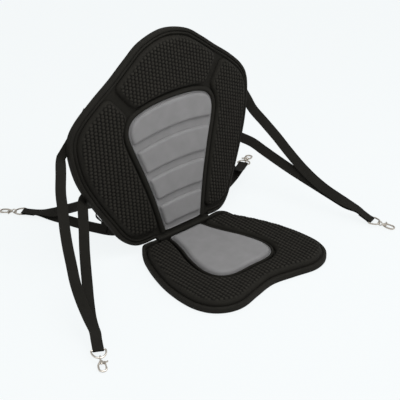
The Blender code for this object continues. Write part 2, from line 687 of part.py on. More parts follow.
def unit(vector):
    """The vector at length one."""
    vector = np.asarray(vector, float)
    return vector / np.linalg.norm(vector)


def ribbon(name, centre, normals):
    """Flat webbing along centre points, its face turned to the normals.

    Both of its broad sides are split along the same diagonal, so a twist leaves it as thick.
    """
    tangent = np.gradient(centre, axis=0)
    tangent /= np.linalg.norm(tangent, axis=1)[:, None]
    normals = normals - (normals * tangent).sum(1)[:, None] * tangent
    normals /= np.linalg.norm(normals, axis=1)[:, None]
    across = np.cross(tangent, normals)
    half_width, half_thick = WEBBING_WIDTH / 2, WEBBING_THICKNESS / 2
    corners = [(-1, -1), (1, -1), (1, 1), (-1, 1)]
    rings = [centre + across * a * half_width + normals * b * half_thick for a, b in corners]
    vertices = np.stack(rings, axis=1).reshape(-1, 3)
    count = len(centre)
    faces = []
    for k in range(0, 4 * (count - 1), 4):
        faces += [(k + 1, k, k + 5), (k, k + 4, k + 5), (k + 3, k + 2, k + 6), (k + 3, k + 6, k + 7)]
        faces += [(k + 2, k + 1, k + 5), (k + 2, k + 5, k + 6), (k, k + 3, k + 7), (k, k + 7, k + 4)]
    faces.append((0, 1, 2, 3))
    faces.append(tuple((count - 1) * 4 + s for s in (3, 2, 1, 0)))
    return add_object(name, vertices, faces, BLACK_WEBBING)


def bar_frame(bridle, hook):
    """Middle of the D ring's bar and its axes: along the hook or the webbing, across it and up."""
    spec = BRIDLES[bridle]
    ahead = np.array([*unit(spec["heading"]), 0.0])
    across = np.cross([0.0, 0.0, 1.0], ahead)
    angle = math.radians(spec["pitch"] if hook else spec["fall"])
    along = ahead * math.cos(angle) - np.array([0.0, 0.0, math.sin(angle)])
    return in_frame(spec["bar"]), along, across, np.cross(along, across)


def stretched(points, step):
    """Open smooth curve through the points, with stations about step apart."""
    fine = catmull_rom(points, 24, False)
    along = np.concatenate([[0.0], np.cumsum(np.linalg.norm(np.diff(fine, axis=0), axis=1))])
    stations = np.linspace(0.0, along[-1], max(int(round(along[-1] / step)), 2) + 1)
    return np.stack([np.interp(stations, along, fine[:, k]) for k in range(3)], axis=1)


def sheet_normal(u, v):
    """Unit normals of the bowed sheet, toward its front."""
    small = 0.0005
    across = on_back(u + small, v, 0.0) - on_back(u - small, v, 0.0)
    up = on_back(u, v + small, 0.0) - on_back(u, v - small, 0.0)
    normal = np.cross(across, up)
    return normal / np.linalg.norm(normal, axis=1)[:, None]


def flat_start(bridle, level_name):
    """Centre points and normals where a strap lies on the rear of the backrest."""
    (u, v), direction, length = ANCHORS[bridle][level_name]
    side = -1.0 if bridle.endswith("left") else 1.0
    lift = BACK_THICKNESS + SEWN_GAP + WEBBING_THICKNESS / 2
    steps = np.linspace(0.0, length, int(round(length / FLAT_STEP)) + 1)
    run = unit(direction)
    u = side * (u + run[0] * steps)
    v = v + run[1] * steps
    normals = sheet_normal(u, v)
    return on_back(u, v, 0.0) - normals * lift, normals


def eased(amount):
    """0 to 1 with a soft start and end, for amounts from 0 to 1."""
    amount = np.clip(amount, 0.0, 1.0)
    return (amount * amount * (3.0 - 2.0 * amount))[:, None]


def strap_route(bridle, level_name, free):
    """Centre points and normals of one webbing from its sewn start to its stack at the D ring."""
    origin, ahead, _, up = bar_frame(bridle, False)
    on_top = 1.0 if level_name == "upper" else 0.0
    start = origin + up * (WEBBING_THICKNESS + GAP) * on_top
    float_up = up * STACK_FLOAT * on_top
    stack = [start - ahead * STACK_LENGTH + float_up, start - ahead * STACK_LENGTH * 0.6 + float_up * 0.3]
    flat, flat_normals = flat_start(bridle, level_name)
    hanging = stretched(np.vstack([flat[-2:], in_frame(free), np.array(stack)]), STATION_STEP)
    gone = np.linalg.norm(flat[-1] - flat[-2])
    away = np.linalg.norm(hanging - flat[-2], axis=1)
    hanging = hanging[away > gone + STATION_STEP * 0.4]
    run = np.concatenate([[0.0], np.cumsum(np.linalg.norm(np.diff(hanging, axis=0), axis=1))])
    leaving = eased((run + STATION_STEP) / BRIDLES[bridle]["turn"])
    landing = eased(1.0 - (run[-1] - run) / STACK_TURN)
    normals = flat_normals[-1] * (1 - leaving) + unit(BRIDLES[bridle]["facing"]) * leaving
    normals = normals * (1 - landing) + up * landing
    return np.vstack([flat, hanging]), np.vstack([flat_normals, normals])


def make_upper_strap(bridle, free):
    """Webbing that ends in the loop round the bar of the D ring, with its tail sewn under."""
    origin, ahead, _, up = bar_frame(bridle, False)
    route, normals = strap_route(bridle, "upper", free)
    radius = D_WIRE_RADIUS + FIT_CLEARANCE + WEBBING_THICKNESS / 2 + LOOP_PLAY
    layer = WEBBING_THICKNESS + GAP
    turns = np.radians(np.linspace(90.0, -90.0, 9))
    loop = [origin + ahead * radius * math.cos(a) + up * radius * math.sin(a) for a in turns]
    loop_normals = [ahead * math.cos(a) + up * math.sin(a) for a in turns]
    closing = ahead * SANDWICH_SHORT * LOOP_CLOSE_SHARE
    rise = origin - closing + up * layer
    fall = origin - closing - up * layer
    tail = [fall, origin - ahead * TAIL_LENGTH * 0.65 - up * layer, origin - ahead * TAIL_LENGTH - up * layer]
    centre = np.vstack([route, [rise], loop, tail])
    faces_up = np.vstack([normals, [up], loop_normals, [-up] * len(tail)])
    return ribbon(f"{bridle}_upper_strap", centre, faces_up)


def make_lower_strap(bridle, free):
    """Webbing whose end is sewn between the upper one and its tail."""
    origin, ahead, _, up = bar_frame(bridle, False)
    route, normals = strap_route(bridle, "lower", free)
    end = origin - ahead * SANDWICH_SHORT
    return ribbon(f"{bridle}_lower_strap", np.vstack([route, [end]]), np.vstack([normals, [up]]))


def make_rear_tail():
    """Loose end of webbing: its root is sewn flat across the lower strap, and it curls off upward."""
    route, facing = strap_route("rear_left", "lower", REAR_LOWER_LEFT)
    nearest = int(np.linalg.norm(route - in_frame(TAIL_ROOT), axis=1).argmin())
    tangent = unit(route[nearest + 1] - route[nearest - 1])
    normal = unit(facing[nearest] - facing[nearest] @ tangent * tangent)
    climb = np.cross(tangent, normal)
    along = (in_frame(TAIL_ROOT) - route[nearest]) @ tangent
    root = route[nearest] + tangent * along + normal * (WEBBING_THICKNESS + TAIL_GAP)
    sewn = [root - climb * TAIL_ROOT_LENGTH / 2, root, root + climb * TAIL_ROOT_LENGTH / 2]
    centre = stretched(np.vstack([sewn, in_frame(REAR_TAIL_LEFT)]), STATION_STEP * 0.5)
    run = np.concatenate([[0.0], np.cumsum(np.linalg.norm(np.diff(centre, axis=0), axis=1))])
    turning = eased((run - TAIL_ROOT_LENGTH) / TAIL_TURN)
    edge_way = tangent * (1 - turning) + unit(TAIL_EDGE_WAY) * turning
    return ribbon("rear_left_tail", centre, np.cross(np.gradient(centre, axis=0), edge_way))


def placed(points, frame):
    """World points of local ones in an (origin, x, y, z) frame."""
    origin, x, y, z = frame
    points = np.asarray(points, float)
    return origin + points[:, :1] * x + points[:, 1:2] * y + points[:, 2:3] * z


def wire(path, radius, sides, closed):
    """Vertices and faces of a round wire along local points that lie near the local XY plane."""
    path = np.asarray(path, float)
    if closed:
        tangent = np.roll(path, -1, axis=0) - np.roll(path, 1, axis=0)
    else:
        tangent = np.gradient(path, axis=0)
    tangent /= np.linalg.norm(tangent, axis=1)[:, None]
    up = np.array([0.0, 0.0, 1.0])
    side = np.cross(up, tangent)
    side /= np.linalg.norm(side, axis=1)[:, None]
    turns = np.arange(sides) * 2 * math.pi / sides
    rings = [path + radius * (math.cos(a) * side + math.sin(a) * up) for a in turns]
    vertices = np.stack(rings, axis=1).reshape(-1, 3)
    count = len(path)
    faces = []
    for k in range(count if closed else count - 1):
        n = (k + 1) % count
        for s in range(sides):
            r = (s + 1) % sides
            faces.append((k * sides + s, k * sides + r, n * sides + r, n * sides + s))
    if not closed:
        faces.append(tuple(range(sides))[::-1])
        faces.append(tuple((count - 1) * sides + s for s in range(sides)))
    return vertices, faces


def lathe(profile, sides):
    """Vertices and faces of a closed ring turned about local X; profile lists (x, radius)."""
    turns = np.arange(sides) * 2 * math.pi / sides
    count = len(profile)
    vertices = [(x, r * math.cos(a), r * math.sin(a)) for a in turns for x, r in profile]
    faces = []
    for k in range(sides):
        n = (k + 1) % sides
        for s in range(count):
            r = (s + 1) % count
            faces.append((k * count + s, k * count + r, n * count + r, n * count + s))
    return np.array(vertices), faces


def lathed_pin(profile, sides):
    """Vertices and faces of a solid turned about local X, closed by flat ends."""
    turns = np.arange(sides) * 2 * math.pi / sides
    vertices = [(x, r * math.cos(a), r * math.sin(a)) for x, r in profile for a in turns]
    faces = []
    for k in range(len(profile) - 1):
        for s in range(sides):
            r = (s + 1) % sides
            faces.append((k * sides + s, k * sides + r, (k + 1) * sides + r, (k + 1) * sides + s))
    faces.append(tuple(range(sides))[::-1])
    faces.append(tuple((len(profile) - 1) * sides + s for s in range(sides)))
    return np.array(vertices), faces


def plate(outline, low, high):
    """Vertices and faces of a flat plate over a local XY outline."""
    count = len(outline)
    vertices = [(x, y, low) for x, y in outline] + [(x, y, high) for x, y in outline]
    faces = [tuple(range(count))[::-1], tuple(range(count, 2 * count))]
    faces += [(k, (k + 1) % count, count + (k + 1) % count, count + k) for k in range(count)]
    return np.array(vertices), faces


def combined(name, base, tools, frame, finish):
    """Object of the base shape, joined with or cut by each tool in turn."""
    made = add_object(name, placed(base[0], frame), base[1], finish)
    for number, (operation, shape) in enumerate(tools):
        tool = add_object(f"{name}_tool_{number}", placed(shape[0], frame), shape[1], finish)
        tool.hide_render = True
        tool.display_type = "WIRE"
        change = made.modifiers.new(f"tool_{number}", "BOOLEAN")
        change.operation = operation
        change.solver = "EXACT"
        change.object = tool
    return made


def make_d_ring(bridle):
    """D-shaped wire ring: its straight bar lies in the webbing's loop."""
    half = D_INNER_WIDTH / 2 + D_WIRE_RADIUS
    corner = D_CORNER_RADIUS
    sweep = np.radians(np.linspace(-90.0, 0.0, 4))
    rounded = [(corner + corner * math.sin(a), half - corner + corner * math.cos(a)) for a in sweep]
    bow_points = np.radians(np.linspace(8.0, 90.0, 6))
    arc = [(corner + (D_REACH - corner) * math.sin(a), half * math.cos(a)) for a in bow_points]
    upper = [(0.0, 0.0)] + rounded + arc
    lower = [(x, -y) for x, y in upper[1:-1]][::-1]
    path = [(x, y, 0.0) for x, y in upper + lower]
    vertices, faces = wire(path[::-1], D_WIRE_RADIUS, 8, True)
    frame = bar_frame(bridle, True)
    return combined(f"{bridle}_d_ring", (vertices, faces), [], frame, NICKEL)


def eye_centre():
    """Distance from the D ring's bar to the middle of the eye."""
    return D_REACH + EYE_HOLE_RADIUS - D_WIRE_RADIUS - FIT_CLEARANCE


def hook_parts_frame(bridle):
    """Frame with its origin at the middle of the swivel's eye."""
    origin, along, across, up = bar_frame(bridle, True)
    return origin + along * eye_centre(), along, across, up


def make_swivel_eye(bridle):
    """Eye on the D ring, with the shank that turns in the hook and its rivet head."""
    ring_radius = EYE_HOLE_RADIUS + EYE_WIRE_RADIUS
    turns = np.arange(14) * 2 * math.pi / 14
    path = [(ring_radius * math.cos(a), ring_radius * math.sin(a), 0.0) for a in turns]
    vertices, faces = wire(path, EYE_WIRE_RADIUS, 7, True)
    vertices = vertices[:, [0, 2, 1]] * (1, -1, 1)
    head = BARREL_END + RIVET_PLAY
    shank = lathed_pin([(ring_radius, SHANK_RADIUS), (head, SHANK_RADIUS), (head, RIVET_RADIUS),
                        (head + RIVET_THICKNESS, RIVET_RADIUS * 0.75)], 10)
    frame = hook_parts_frame(bridle)
    return combined(f"{bridle}_swivel_eye", (vertices, faces), [("UNION", shank)], frame, NICKEL)


def circle(centre, radius, sides):
    """Points of a circle in the local XY plane."""
    turns = np.arange(sides) * 2 * math.pi / sides
    return [(centre[0] + radius * math.cos(a), centre[1] + radius * math.sin(a)) for a in turns]


def pin_along_z(centre, radius, low, high, sides):
    """Cylinder along local Z."""
    return plate(circle(centre, radius, sides), low, high)


def make_hook_body(bridle):
    """Hook: a barrel round the shank, the bent arm, and two ears for the gate's pin."""
    hole = SHANK_RADIUS + FIT_CLEARANCE
    soft = BARREL_CHAMFER
    barrel = lathe([(BARREL_START, hole), (BARREL_END, hole), (BARREL_END, BARREL_RADIUS - soft),
                    (BARREL_END - soft, BARREL_RADIUS), (BARREL_START + soft, BARREL_RADIUS),
                    (BARREL_START, BARREL_RADIUS - soft)], 14)
    low = -HOOK_BEND_RADIUS
    sweep = np.radians(np.linspace(-75.0, 90.0, 9))
    bend = [(HOOK_BEND_X + HOOK_BEND_RADIUS * math.cos(a), HOOK_BEND_RADIUS * math.sin(a)) for a in sweep]
    arm = [(BARREL_START + 0.0038, low * 0.42), (BARREL_END + 0.0016, low * 0.76),
           (BARREL_END + 0.0060, low * 0.96), (HOOK_BEND_X - 0.0035, low)] + bend + [(HOOK_TIP_X, -low)]
    arm = wire([(x, y, 0.0) for x, y in arm], HOOK_WIRE_RADIUS, 8, False)
    pivot_x, pivot_y = GATE_PIVOT
    ear_start = GATE_THICKNESS / 2 + FIT_CLEARANCE
    ear_end = ear_start + EAR_THICKNESS
    ear_turns = np.radians(np.linspace(-30.0, 210.0, 8))
    ear = [(BARREL_START + 0.0022, 0.0024), (BARREL_END - 0.0004, 0.0024)]
    ear += [(pivot_x + EAR_RADIUS * math.cos(a), pivot_y + EAR_RADIUS * math.sin(a)) for a in ear_turns]
    tools = [("UNION", arm), ("UNION", plate(ear, ear_start, ear_end)),
             ("UNION", plate(ear, -ear_end, -ear_start))]
    bore = pin_along_z(GATE_PIVOT, PIN_RADIUS + FIT_CLEARANCE, -ear_end - 0.001, ear_end + 0.001, 10)
    tools.append(("DIFFERENCE", bore))
    return combined(f"{bridle}_hook", barrel, tools, hook_parts_frame(bridle), NICKEL)


def thick_line(points, widths):
    """Outline of a flat bar along points, with half its width at each and pointed-round ends."""
    points = np.asarray(points, float)
    tangent = np.gradient(points, axis=0)
    tangent /= np.linalg.norm(tangent, axis=1)[:, None]
    left = np.stack([-tangent[:, 1], tangent[:, 0]], axis=1)
    widths = np.asarray(widths, float)[:, None]
    one, two = points - left * widths, points + left * widths
    head = points[-1] + tangent[-1] * widths[-1] * 0.6
    foot = points[0] - tangent[0] * widths[0] * 0.6
    return [tuple(p) for p in np.vstack([one, [head], two[::-1], [foot]])]


def make_gate(bridle):
    """Sprung gate: its arm closes the hook, its lever takes the thumb."""
    pivot = np.array(GATE_PIVOT)
    end = np.array([HOOK_TIP_X - FIT_CLEARANCE - GATE_ARM_WIDTH * 0.3, HOOK_BEND_RADIUS])
    lever = np.array(GATE_LEVER_TIP)
    half = GATE_ARM_WIDTH / 2
    arm = thick_line([pivot, pivot * 0.5 + end * 0.5 + (0.0, 0.0004), end], [half, half, half * 0.9])
    tab = thick_line([pivot, pivot * 0.4 + lever * 0.6, lever], [half * 0.9, half * 0.75, half])
    deep = GATE_THICKNESS / 2
    hub = pin_along_z(GATE_PIVOT, GATE_HUB_RADIUS, -deep, deep, 14)
    bore = pin_along_z(GATE_PIVOT, PIN_RADIUS + FIT_CLEARANCE, -deep - 0.001, deep + 0.001, 10)
    thin = deep * 0.86
    tools = [("UNION", plate(arm, -thin, thin)), ("UNION", plate(tab, -thin, thin)), ("DIFFERENCE", bore)]
    return combined(f"{bridle}_gate", hub, tools, hook_parts_frame(bridle), NICKEL)


def make_gate_pin(bridle):
    """Pin through the hook's ears and the gate."""
    long = GATE_THICKNESS / 2 + FIT_CLEARANCE + EAR_THICKNESS
    pin = pin_along_z(GATE_PIVOT, PIN_RADIUS, -long, long, 10)
    return combined(f"{bridle}_gate_pin", pin, [], hook_parts_frame(bridle), NICKEL)


def set_origin(made, point):
    """Move an object's origin to a world point without moving its mesh."""
    point = Vector(point)
    made.data.transform(Matrix.Translation(-point))
    made.location = point


def main():
    clear_scene()
    edge, panel, pad_limit, rim_limit = back_outlines()
    make_back_shell(edge)
    make_back_binding(edge)
    make_back_pads(pad_limit, rim_limit)
    make_back_panel(panel)
    make_back_panel_rim(panel)
    make_hinge_roll()
    seat_edge, seat_panel = seat_outlines()
    seat = [make_seat_base(seat_edge), make_seat_binding(seat_edge), make_seat_pad(seat_edge, seat_panel),
            make_seat_panel(seat_panel), make_seat_panel_welt(seat_panel), make_hinge_cuff()]
    for piece in seat:
        set_origin(piece, hinge_axis())
    make_rear_tail()
    runs = {
        "front_left": (FRONT_UPPER_LEFT, FRONT_LOWER_LEFT),
        "front_right": (FRONT_UPPER_RIGHT, FRONT_LOWER_RIGHT),
        "rear_left": (REAR_UPPER_LEFT, REAR_LOWER_LEFT),
        "rear_right": (REAR_UPPER_RIGHT, REAR_LOWER_RIGHT),
    }
    for bridle, (upper, lower) in runs.items():
        make_upper_strap(bridle, upper)
        make_lower_strap(bridle, lower)
        make_d_ring(bridle)
        make_swivel_eye(bridle)
        make_hook_body(bridle)
        make_gate(bridle)
        make_gate_pin(bridle)


main()
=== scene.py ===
"""A padded kayak seat with a sewn fold between backrest and cushion, on a pale studio floor."""

# %% [markdown]
# # Padded kayak seat
# A tall padded backrest and a flat cushion are joined by a sewn fold, and eight branches of webbing end in
# four snap hooks. The hooks come from the solid model as they are, because metal keeps its shape. Every
# soft piece is made again here as a fine surface in the same frame: metres, +Z up, front toward -Y,
# origin under the middle of the seat.

# %% Load the solid model
import math

import bpy
import numpy as np
from mathutils import Matrix, Vector
from mathutils.geometry import delaunay_2d_cdt


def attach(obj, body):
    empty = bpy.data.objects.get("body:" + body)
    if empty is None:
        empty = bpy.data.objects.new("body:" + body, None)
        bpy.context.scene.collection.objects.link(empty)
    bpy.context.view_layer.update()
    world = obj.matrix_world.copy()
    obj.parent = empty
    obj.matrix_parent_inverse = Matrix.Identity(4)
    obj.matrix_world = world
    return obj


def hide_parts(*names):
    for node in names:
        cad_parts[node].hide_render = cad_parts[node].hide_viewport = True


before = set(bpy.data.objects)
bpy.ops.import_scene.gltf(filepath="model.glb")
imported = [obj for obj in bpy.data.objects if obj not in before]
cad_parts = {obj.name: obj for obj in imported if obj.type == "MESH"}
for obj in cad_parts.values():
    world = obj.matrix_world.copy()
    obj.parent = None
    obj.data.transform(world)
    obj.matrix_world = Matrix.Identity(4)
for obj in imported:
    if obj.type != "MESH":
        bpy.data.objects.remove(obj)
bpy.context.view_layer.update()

# %% [markdown]
# ## Camera
# The seat is seen from its front left and from above, through a long lens, which keeps near and far
# straps in proportion. A constraint could aim the camera at a target. Here a place and two angles give
# its axes instead, because each can then be read and changed by itself. The camera comes first, so that
# every later step can be looked at from the same side.

# %% Camera
FOOT_Y = 0.1276  # how far the backrest's foot lies behind the origin
AZIMUTH = math.radians(-43.327)
ELEVATION = math.radians(28.218)
CAMERA_PLACE = Vector((-2.0567, -2.2424 + FOOT_Y, 1.7372))
SENSOR_WIDTH = 36.0
FOCAL_LENGTH = 126.0
FAR_LIMIT = 20.0

back = Vector((math.sin(AZIMUTH) * math.cos(ELEVATION), -math.cos(AZIMUTH) * math.cos(ELEVATION),
               math.sin(ELEVATION)))
right = Vector((math.cos(AZIMUTH), math.sin(AZIMUTH), 0.0))
turned = Matrix((right, back.cross(right), back)).transposed()
lens = bpy.data.cameras.new("camera")
lens.sensor_width = SENSOR_WIDTH
lens.lens = FOCAL_LENGTH
lens.clip_end = FAR_LIMIT
camera = bpy.data.objects.new("camera", lens)
camera.matrix_world = Matrix.Translation(CAMERA_PLACE) @ turned.to_4x4()
bpy.context.collection.objects.link(camera)
bpy.context.scene.camera = camera
print("camera", tuple(round(c, 3) for c in CAMERA_PLACE))

# %% [markdown]
# ## Sheet of the backrest
# The backrest is a foam board that leans back, and its wings fall back from the middle, most near the
# foot. A flat board could be bent later with a modifier, but every piece on it would then need the same
# one. So the bend is a function: u runs across, v up the sheet and t out of its front. Each piece is
# drawn flat in u and v, and the function places it.

# %% Sheet of the backrest
BACK_TILT = math.radians(7.2)
BACK_FOOT_HEIGHT = 0.020
BOW_AT_FOOT = 0.70
BOW_LOSS_WITH_HEIGHT = 0.93


def in_frame(points):
    """Points measured from the foot of the backrest, in the shared frame."""
    return np.asarray(points, float) + (0.0, FOOT_Y, 0.0)


def bow(v):
    """How much the sheet falls back with the square of u."""
    return BOW_AT_FOOT - BOW_LOSS_WITH_HEIGHT * v


def on_back(u, v, t):
    """Points of the sheet: y and z follow v along the tilt, and t minus bow times u squared across it."""
    u, v, t = np.broadcast_arrays(np.asarray(u, float), np.asarray(v, float), np.asarray(t, float))
    front = t - bow(v) * u * u
    y = v * math.sin(BACK_TILT) - front * math.cos(BACK_TILT)
    z = BACK_FOOT_HEIGHT + v * math.cos(BACK_TILT) + front * math.sin(BACK_TILT)
    return in_frame(np.stack([u, y, z], axis=-1))


print("top of the sheet:", on_back(0.0, 0.520, 0.0).round(3))

# %% [markdown]
# ## Fabric, webbing and metal
# The covers are woven polyester, drawn over moulded bumps on the pads. The webbing is ribbed, and the
# hooks are nickel-plated. An image could carry the weave, but it would need an unwrapped map. Here a
# fine pattern on Object coordinates makes it, which stays in place because every piece sits at the
# origin. The weave is finer than a pixel, so bump is enough for it. What has a visible shape is geometry.

# %% Plain material


def plain_material(name, colour, roughness, metallic=0.0):
    """A Principled material with uniform values."""
    made = bpy.data.materials.new(name)
    made.use_nodes = True
    shader = made.node_tree.nodes["Principled BSDF"]
    shader.inputs["Base Color"].default_value = (*colour, 1.0)
    shader.inputs["Roughness"].default_value = roughness
    shader.inputs["Metallic"].default_value = metallic
    return made


# %% Woven material
FABRIC_SPECULAR = 0.10
WEAVE_STRENGTH = 0.6
MOTTLE_SCALE = 35.0
MOTTLE_DETAIL = 5.0
MOTTLE_SPAN = (0.3, 0.7)


def weave_material(name, colour, roughness, pitch, depth, mottle):
    """Fabric: bump from the distance to cells of that pitch, and noise that varies the colour by mottle."""
    made = plain_material(name, colour, roughness)
    nodes, links = made.node_tree.nodes, made.node_tree.links
    shader = nodes["Principled BSDF"]
    shader.inputs["Specular IOR Level"].default_value = FABRIC_SPECULAR
    place = nodes.new("ShaderNodeTexCoord")
    bump = nodes.new("ShaderNodeBump")
    bump.inputs["Strength"].default_value = WEAVE_STRENGTH
    bump.inputs["Distance"].default_value = depth
    grain = nodes.new("ShaderNodeTexVoronoi")
    grain.inputs["Scale"].default_value = 1.0 / pitch
    links.new(place.outputs["Object"], grain.inputs["Vector"])
    links.new(grain.outputs["Distance"], bump.inputs["Height"])
    links.new(bump.outputs["Normal"], shader.inputs["Normal"])
    cloud = nodes.new("ShaderNodeTexNoise")
    cloud.inputs["Scale"].default_value = MOTTLE_SCALE
    cloud.inputs["Detail"].default_value = MOTTLE_DETAIL
    links.new(place.outputs["Object"], cloud.inputs["Vector"])
    ramp = nodes.new("ShaderNodeMapRange")
    ramp.inputs["From Min"].default_value = MOTTLE_SPAN[0]
    ramp.inputs["From Max"].default_value = MOTTLE_SPAN[1]
    ramp.inputs["To Min"].default_value = 1.0 - mottle
    ramp.inputs["To Max"].default_value = 1.0 + mottle
    links.new(cloud.outputs["Fac"], ramp.inputs["Value"])
    tint = nodes.new("ShaderNodeVectorMath")
    tint.operation = "SCALE"
    tint.inputs[0].default_value = colour
    links.new(ramp.outputs["Result"], tint.inputs["Scale"])
    links.new(tint.outputs["Vector"], shader.inputs["Base Color"])
    return made


# %% Dimpled material
FINE_WEAVE = (0.0011, 0.0003)  # pitch and depth
PAD_MOTTLE = 0.10


def relief_shaded_material(name, colour, roughness, pit_shade, bump_highlight):
    """Weave with painted shade and light from the pads' relief: the colour is scaled by the pit factor in the
    pits, as painted shade, and by the bump factor on the bumps, as painted highlight.
    """
    made = weave_material(name, colour, roughness, *FINE_WEAVE, PAD_MOTTLE)
    nodes, links = made.node_tree.nodes, made.node_tree.links
    shader = nodes["Principled BSDF"]
    relief = nodes.new("ShaderNodeAttribute")
    relief.attribute_name = "relief"
    # Painted shade and light: the relief attribute darkens the colour in the pits and brightens it on the
    # bumps.
    relief_shade = nodes.new("ShaderNodeMapRange")
    relief_shade.inputs["To Min"].default_value = pit_shade
    relief_shade.inputs["To Max"].default_value = bump_highlight
    links.new(relief.outputs["Fac"], relief_shade.inputs["Value"])
    shaded = nodes.new("ShaderNodeVectorMath")
    shaded.operation = "SCALE"
    links.new(shader.inputs["Base Color"].links[0].from_socket, shaded.inputs[0])
    links.new(relief_shade.outputs["Result"], shaded.inputs["Scale"])
    links.new(shaded.outputs["Vector"], shader.inputs["Base Color"])
    return made


# %% The six finishes
black_fabric = weave_material("black_fabric", (0.0146, 0.0138, 0.0113), 0.80, *FINE_WEAVE, 0.12)
# The pads' colour is painted darker in the pits (0.30) as shade and lighter on the bumps (1.80) as highlight.
dimpled_fabric = relief_shaded_material("dimpled_fabric", (0.0150, 0.0141, 0.0116), 0.80, 0.30, 1.80)
smooth_black = weave_material("smooth_black", (0.0150, 0.0142, 0.0117), 0.75, 0.0009, 0.0002, 0.08)
grey_fabric = weave_material("grey_fabric", (0.236, 0.234, 0.236), 0.85, 0.0010, 0.00025, 0.05)
webbing_black = weave_material("webbing_black", (0.0135, 0.0127, 0.0104), 0.75, 0.0016, 0.0004, 0.08)
nickel = plain_material("nickel", (0.62, 0.58, 0.52), 0.24, 1.0)
print("materials:", len(bpy.data.materials))

# %% [markdown]
# ## Curves
# The outlines are smooth closed curves through a few measured points. A Blender curve object could hold
# them, but pads, tapes and the gaps between them all follow the same outline at other distances. With
# arrays of points each of these is one line of arithmetic.

# %% Smooth closed curves
SPAN_POINTS = 16
OUTLINE_POINTS = 600


def walked_along(points):
    """Length walked up to each point of an open polyline: the running sum of its spans."""
    return np.concatenate([[0.0], np.cumsum(np.linalg.norm(np.diff(points, axis=0), axis=1))])


def resampled(loop, count):
    """The closed polyline with count points at equal spacing."""
    closed = np.vstack([loop, loop[:1]])
    along = walked_along(closed)
    stations = np.linspace(0.0, along[-1], count, endpoint=False)
    return np.stack([np.interp(stations, along, closed[:, k]) for k in range(loop.shape[1])], axis=1)


def spaced(loop, step):
    """The closed polyline with points about step apart."""
    size = np.linalg.norm(np.diff(np.vstack([loop, loop[:1]]), axis=0), axis=1).sum()
    return resampled(loop, max(int(size / step), 8))


def smooth_through(points, steps, closed):
    """Cubic curve through the points: each point's tangent is half the chord between its neighbours."""
    points = np.asarray(points, float)
    if closed:
        ends = np.vstack([points[-1:], points, points[:2]])
    else:
        ends = np.vstack([2 * points[0] - points[1], points, 2 * points[-1] - points[-2]])
    s = np.linspace(0.0, 1.0, steps, endpoint=False)[:, None]
    spans = []
    for a, b, c, d in zip(ends[:-3], ends[1:-2], ends[2:-1], ends[3:]):
        spans.append(0.5 * (2 * b + (c - a) * s + (2 * a - 5 * b + 4 * c - d) * s ** 2
                            + (3 * b - a - 3 * c + d) * s ** 3))
    if not closed:
        spans.append(points[-1:])
    return np.vstack(spans)


def mirrored_loop(half, clockwise_half):
    """Closed counterclockwise outline from its half with x >= 0, whose inner points are mirrored."""
    half = np.asarray(half, float)
    inner = half[1:-1]
    loop = np.vstack([half[:1], inner, half[-1:], (inner * (-1, 1))[::-1]])
    if clockwise_half:
        loop = np.vstack([loop[:1], loop[1:][::-1]])
    return resampled(smooth_through(loop, SPAN_POINTS, True), OUTLINE_POINTS)


# %% Offsets, corners and stretches
SOFTENING_STEP = 0.0015


def offset_loop(loop, distance):
    """The closed counterclockwise outline moved inward, across its tangent, by distance."""
    tangent = np.roll(loop, -1, axis=0) - np.roll(loop, 1, axis=0)
    tangent /= np.linalg.norm(tangent, axis=1)[:, None]
    return loop + distance * np.stack([-tangent[:, 1], tangent[:, 0]], axis=1)


def softened(loop, length):
    """The closed outline with its corners rounded: each point is the mean over a length of it."""
    fine = spaced(loop, SOFTENING_STEP)
    reach = max(int(length / (2 * SOFTENING_STEP)), 1)
    return sum(np.roll(fine, k, axis=0) for k in range(-reach, reach + 1)) / (2 * reach + 1)


def open_part(loop, keep):
    """The stretch of a closed loop whose points pass the test, in order."""
    chosen = keep(loop)
    first = int(np.flatnonzero(chosen & ~np.roll(chosen, 1))[0])
    return np.roll(loop, -first, axis=0)[:int(chosen.sum())]


# %% [markdown]
# ## Slabs
# A pad is an outline with a height over it, and that height depends on the distance from the edge. A
# plain grid would cut the edge into steps. So the outline is filled with triangles that follow the edge
# and a few guide loops inside it, and a staggered lattice fills the rest. The underside lies on another
# piece, so it is coarser.

# %% Distance from an outline, and what lies inside
BLOCK = 2000  # points worked out at a time, which keeps the arrays small


def edge_distance(points, loop):
    """Distance of each point from the closed polyline: the least over its spans, in blocks."""
    span = np.roll(loop, -1, axis=0) - loop
    size = np.maximum((span * span).sum(1), 1e-18)
    result = np.empty(len(points))
    for first in range(0, len(points), BLOCK):
        block = points[first:first + BLOCK]
        along = ((block[:, None] - loop) * span).sum(2) / size
        nearest = loop + np.clip(along, 0.0, 1.0)[:, :, None] * span
        result[first:first + BLOCK] = np.linalg.norm(block[:, None] - nearest, axis=2).min(axis=1)
    return result


def inside(points, loop):
    """Whether each point lies in the closed polyline: a ray to its right crosses an odd number of spans."""
    a, b = loop, np.roll(loop, -1, axis=0)
    rise = np.where(np.abs(b[:, 1] - a[:, 1]) < 1e-15, 1e-15, b[:, 1] - a[:, 1])
    result = np.empty(len(points), bool)
    for first in range(0, len(points), BLOCK):
        x, y = points[first:first + BLOCK, :1], points[first:first + BLOCK, 1:]
        crosses = (a[:, 1] > y) != (b[:, 1] > y)
        hit = a[:, 0] + (y - a[:, 1]) * (b[:, 0] - a[:, 0]) / rise
        result[first:first + BLOCK] = (crosses & (x < hit)).sum(1) % 2 == 1
    return result


# %% Triangles over an outline
ROW_SHARE = 0.87  # rows of a lattice of equal triangles are this share of its spacing apart
CLEAR_SHARE = 0.45


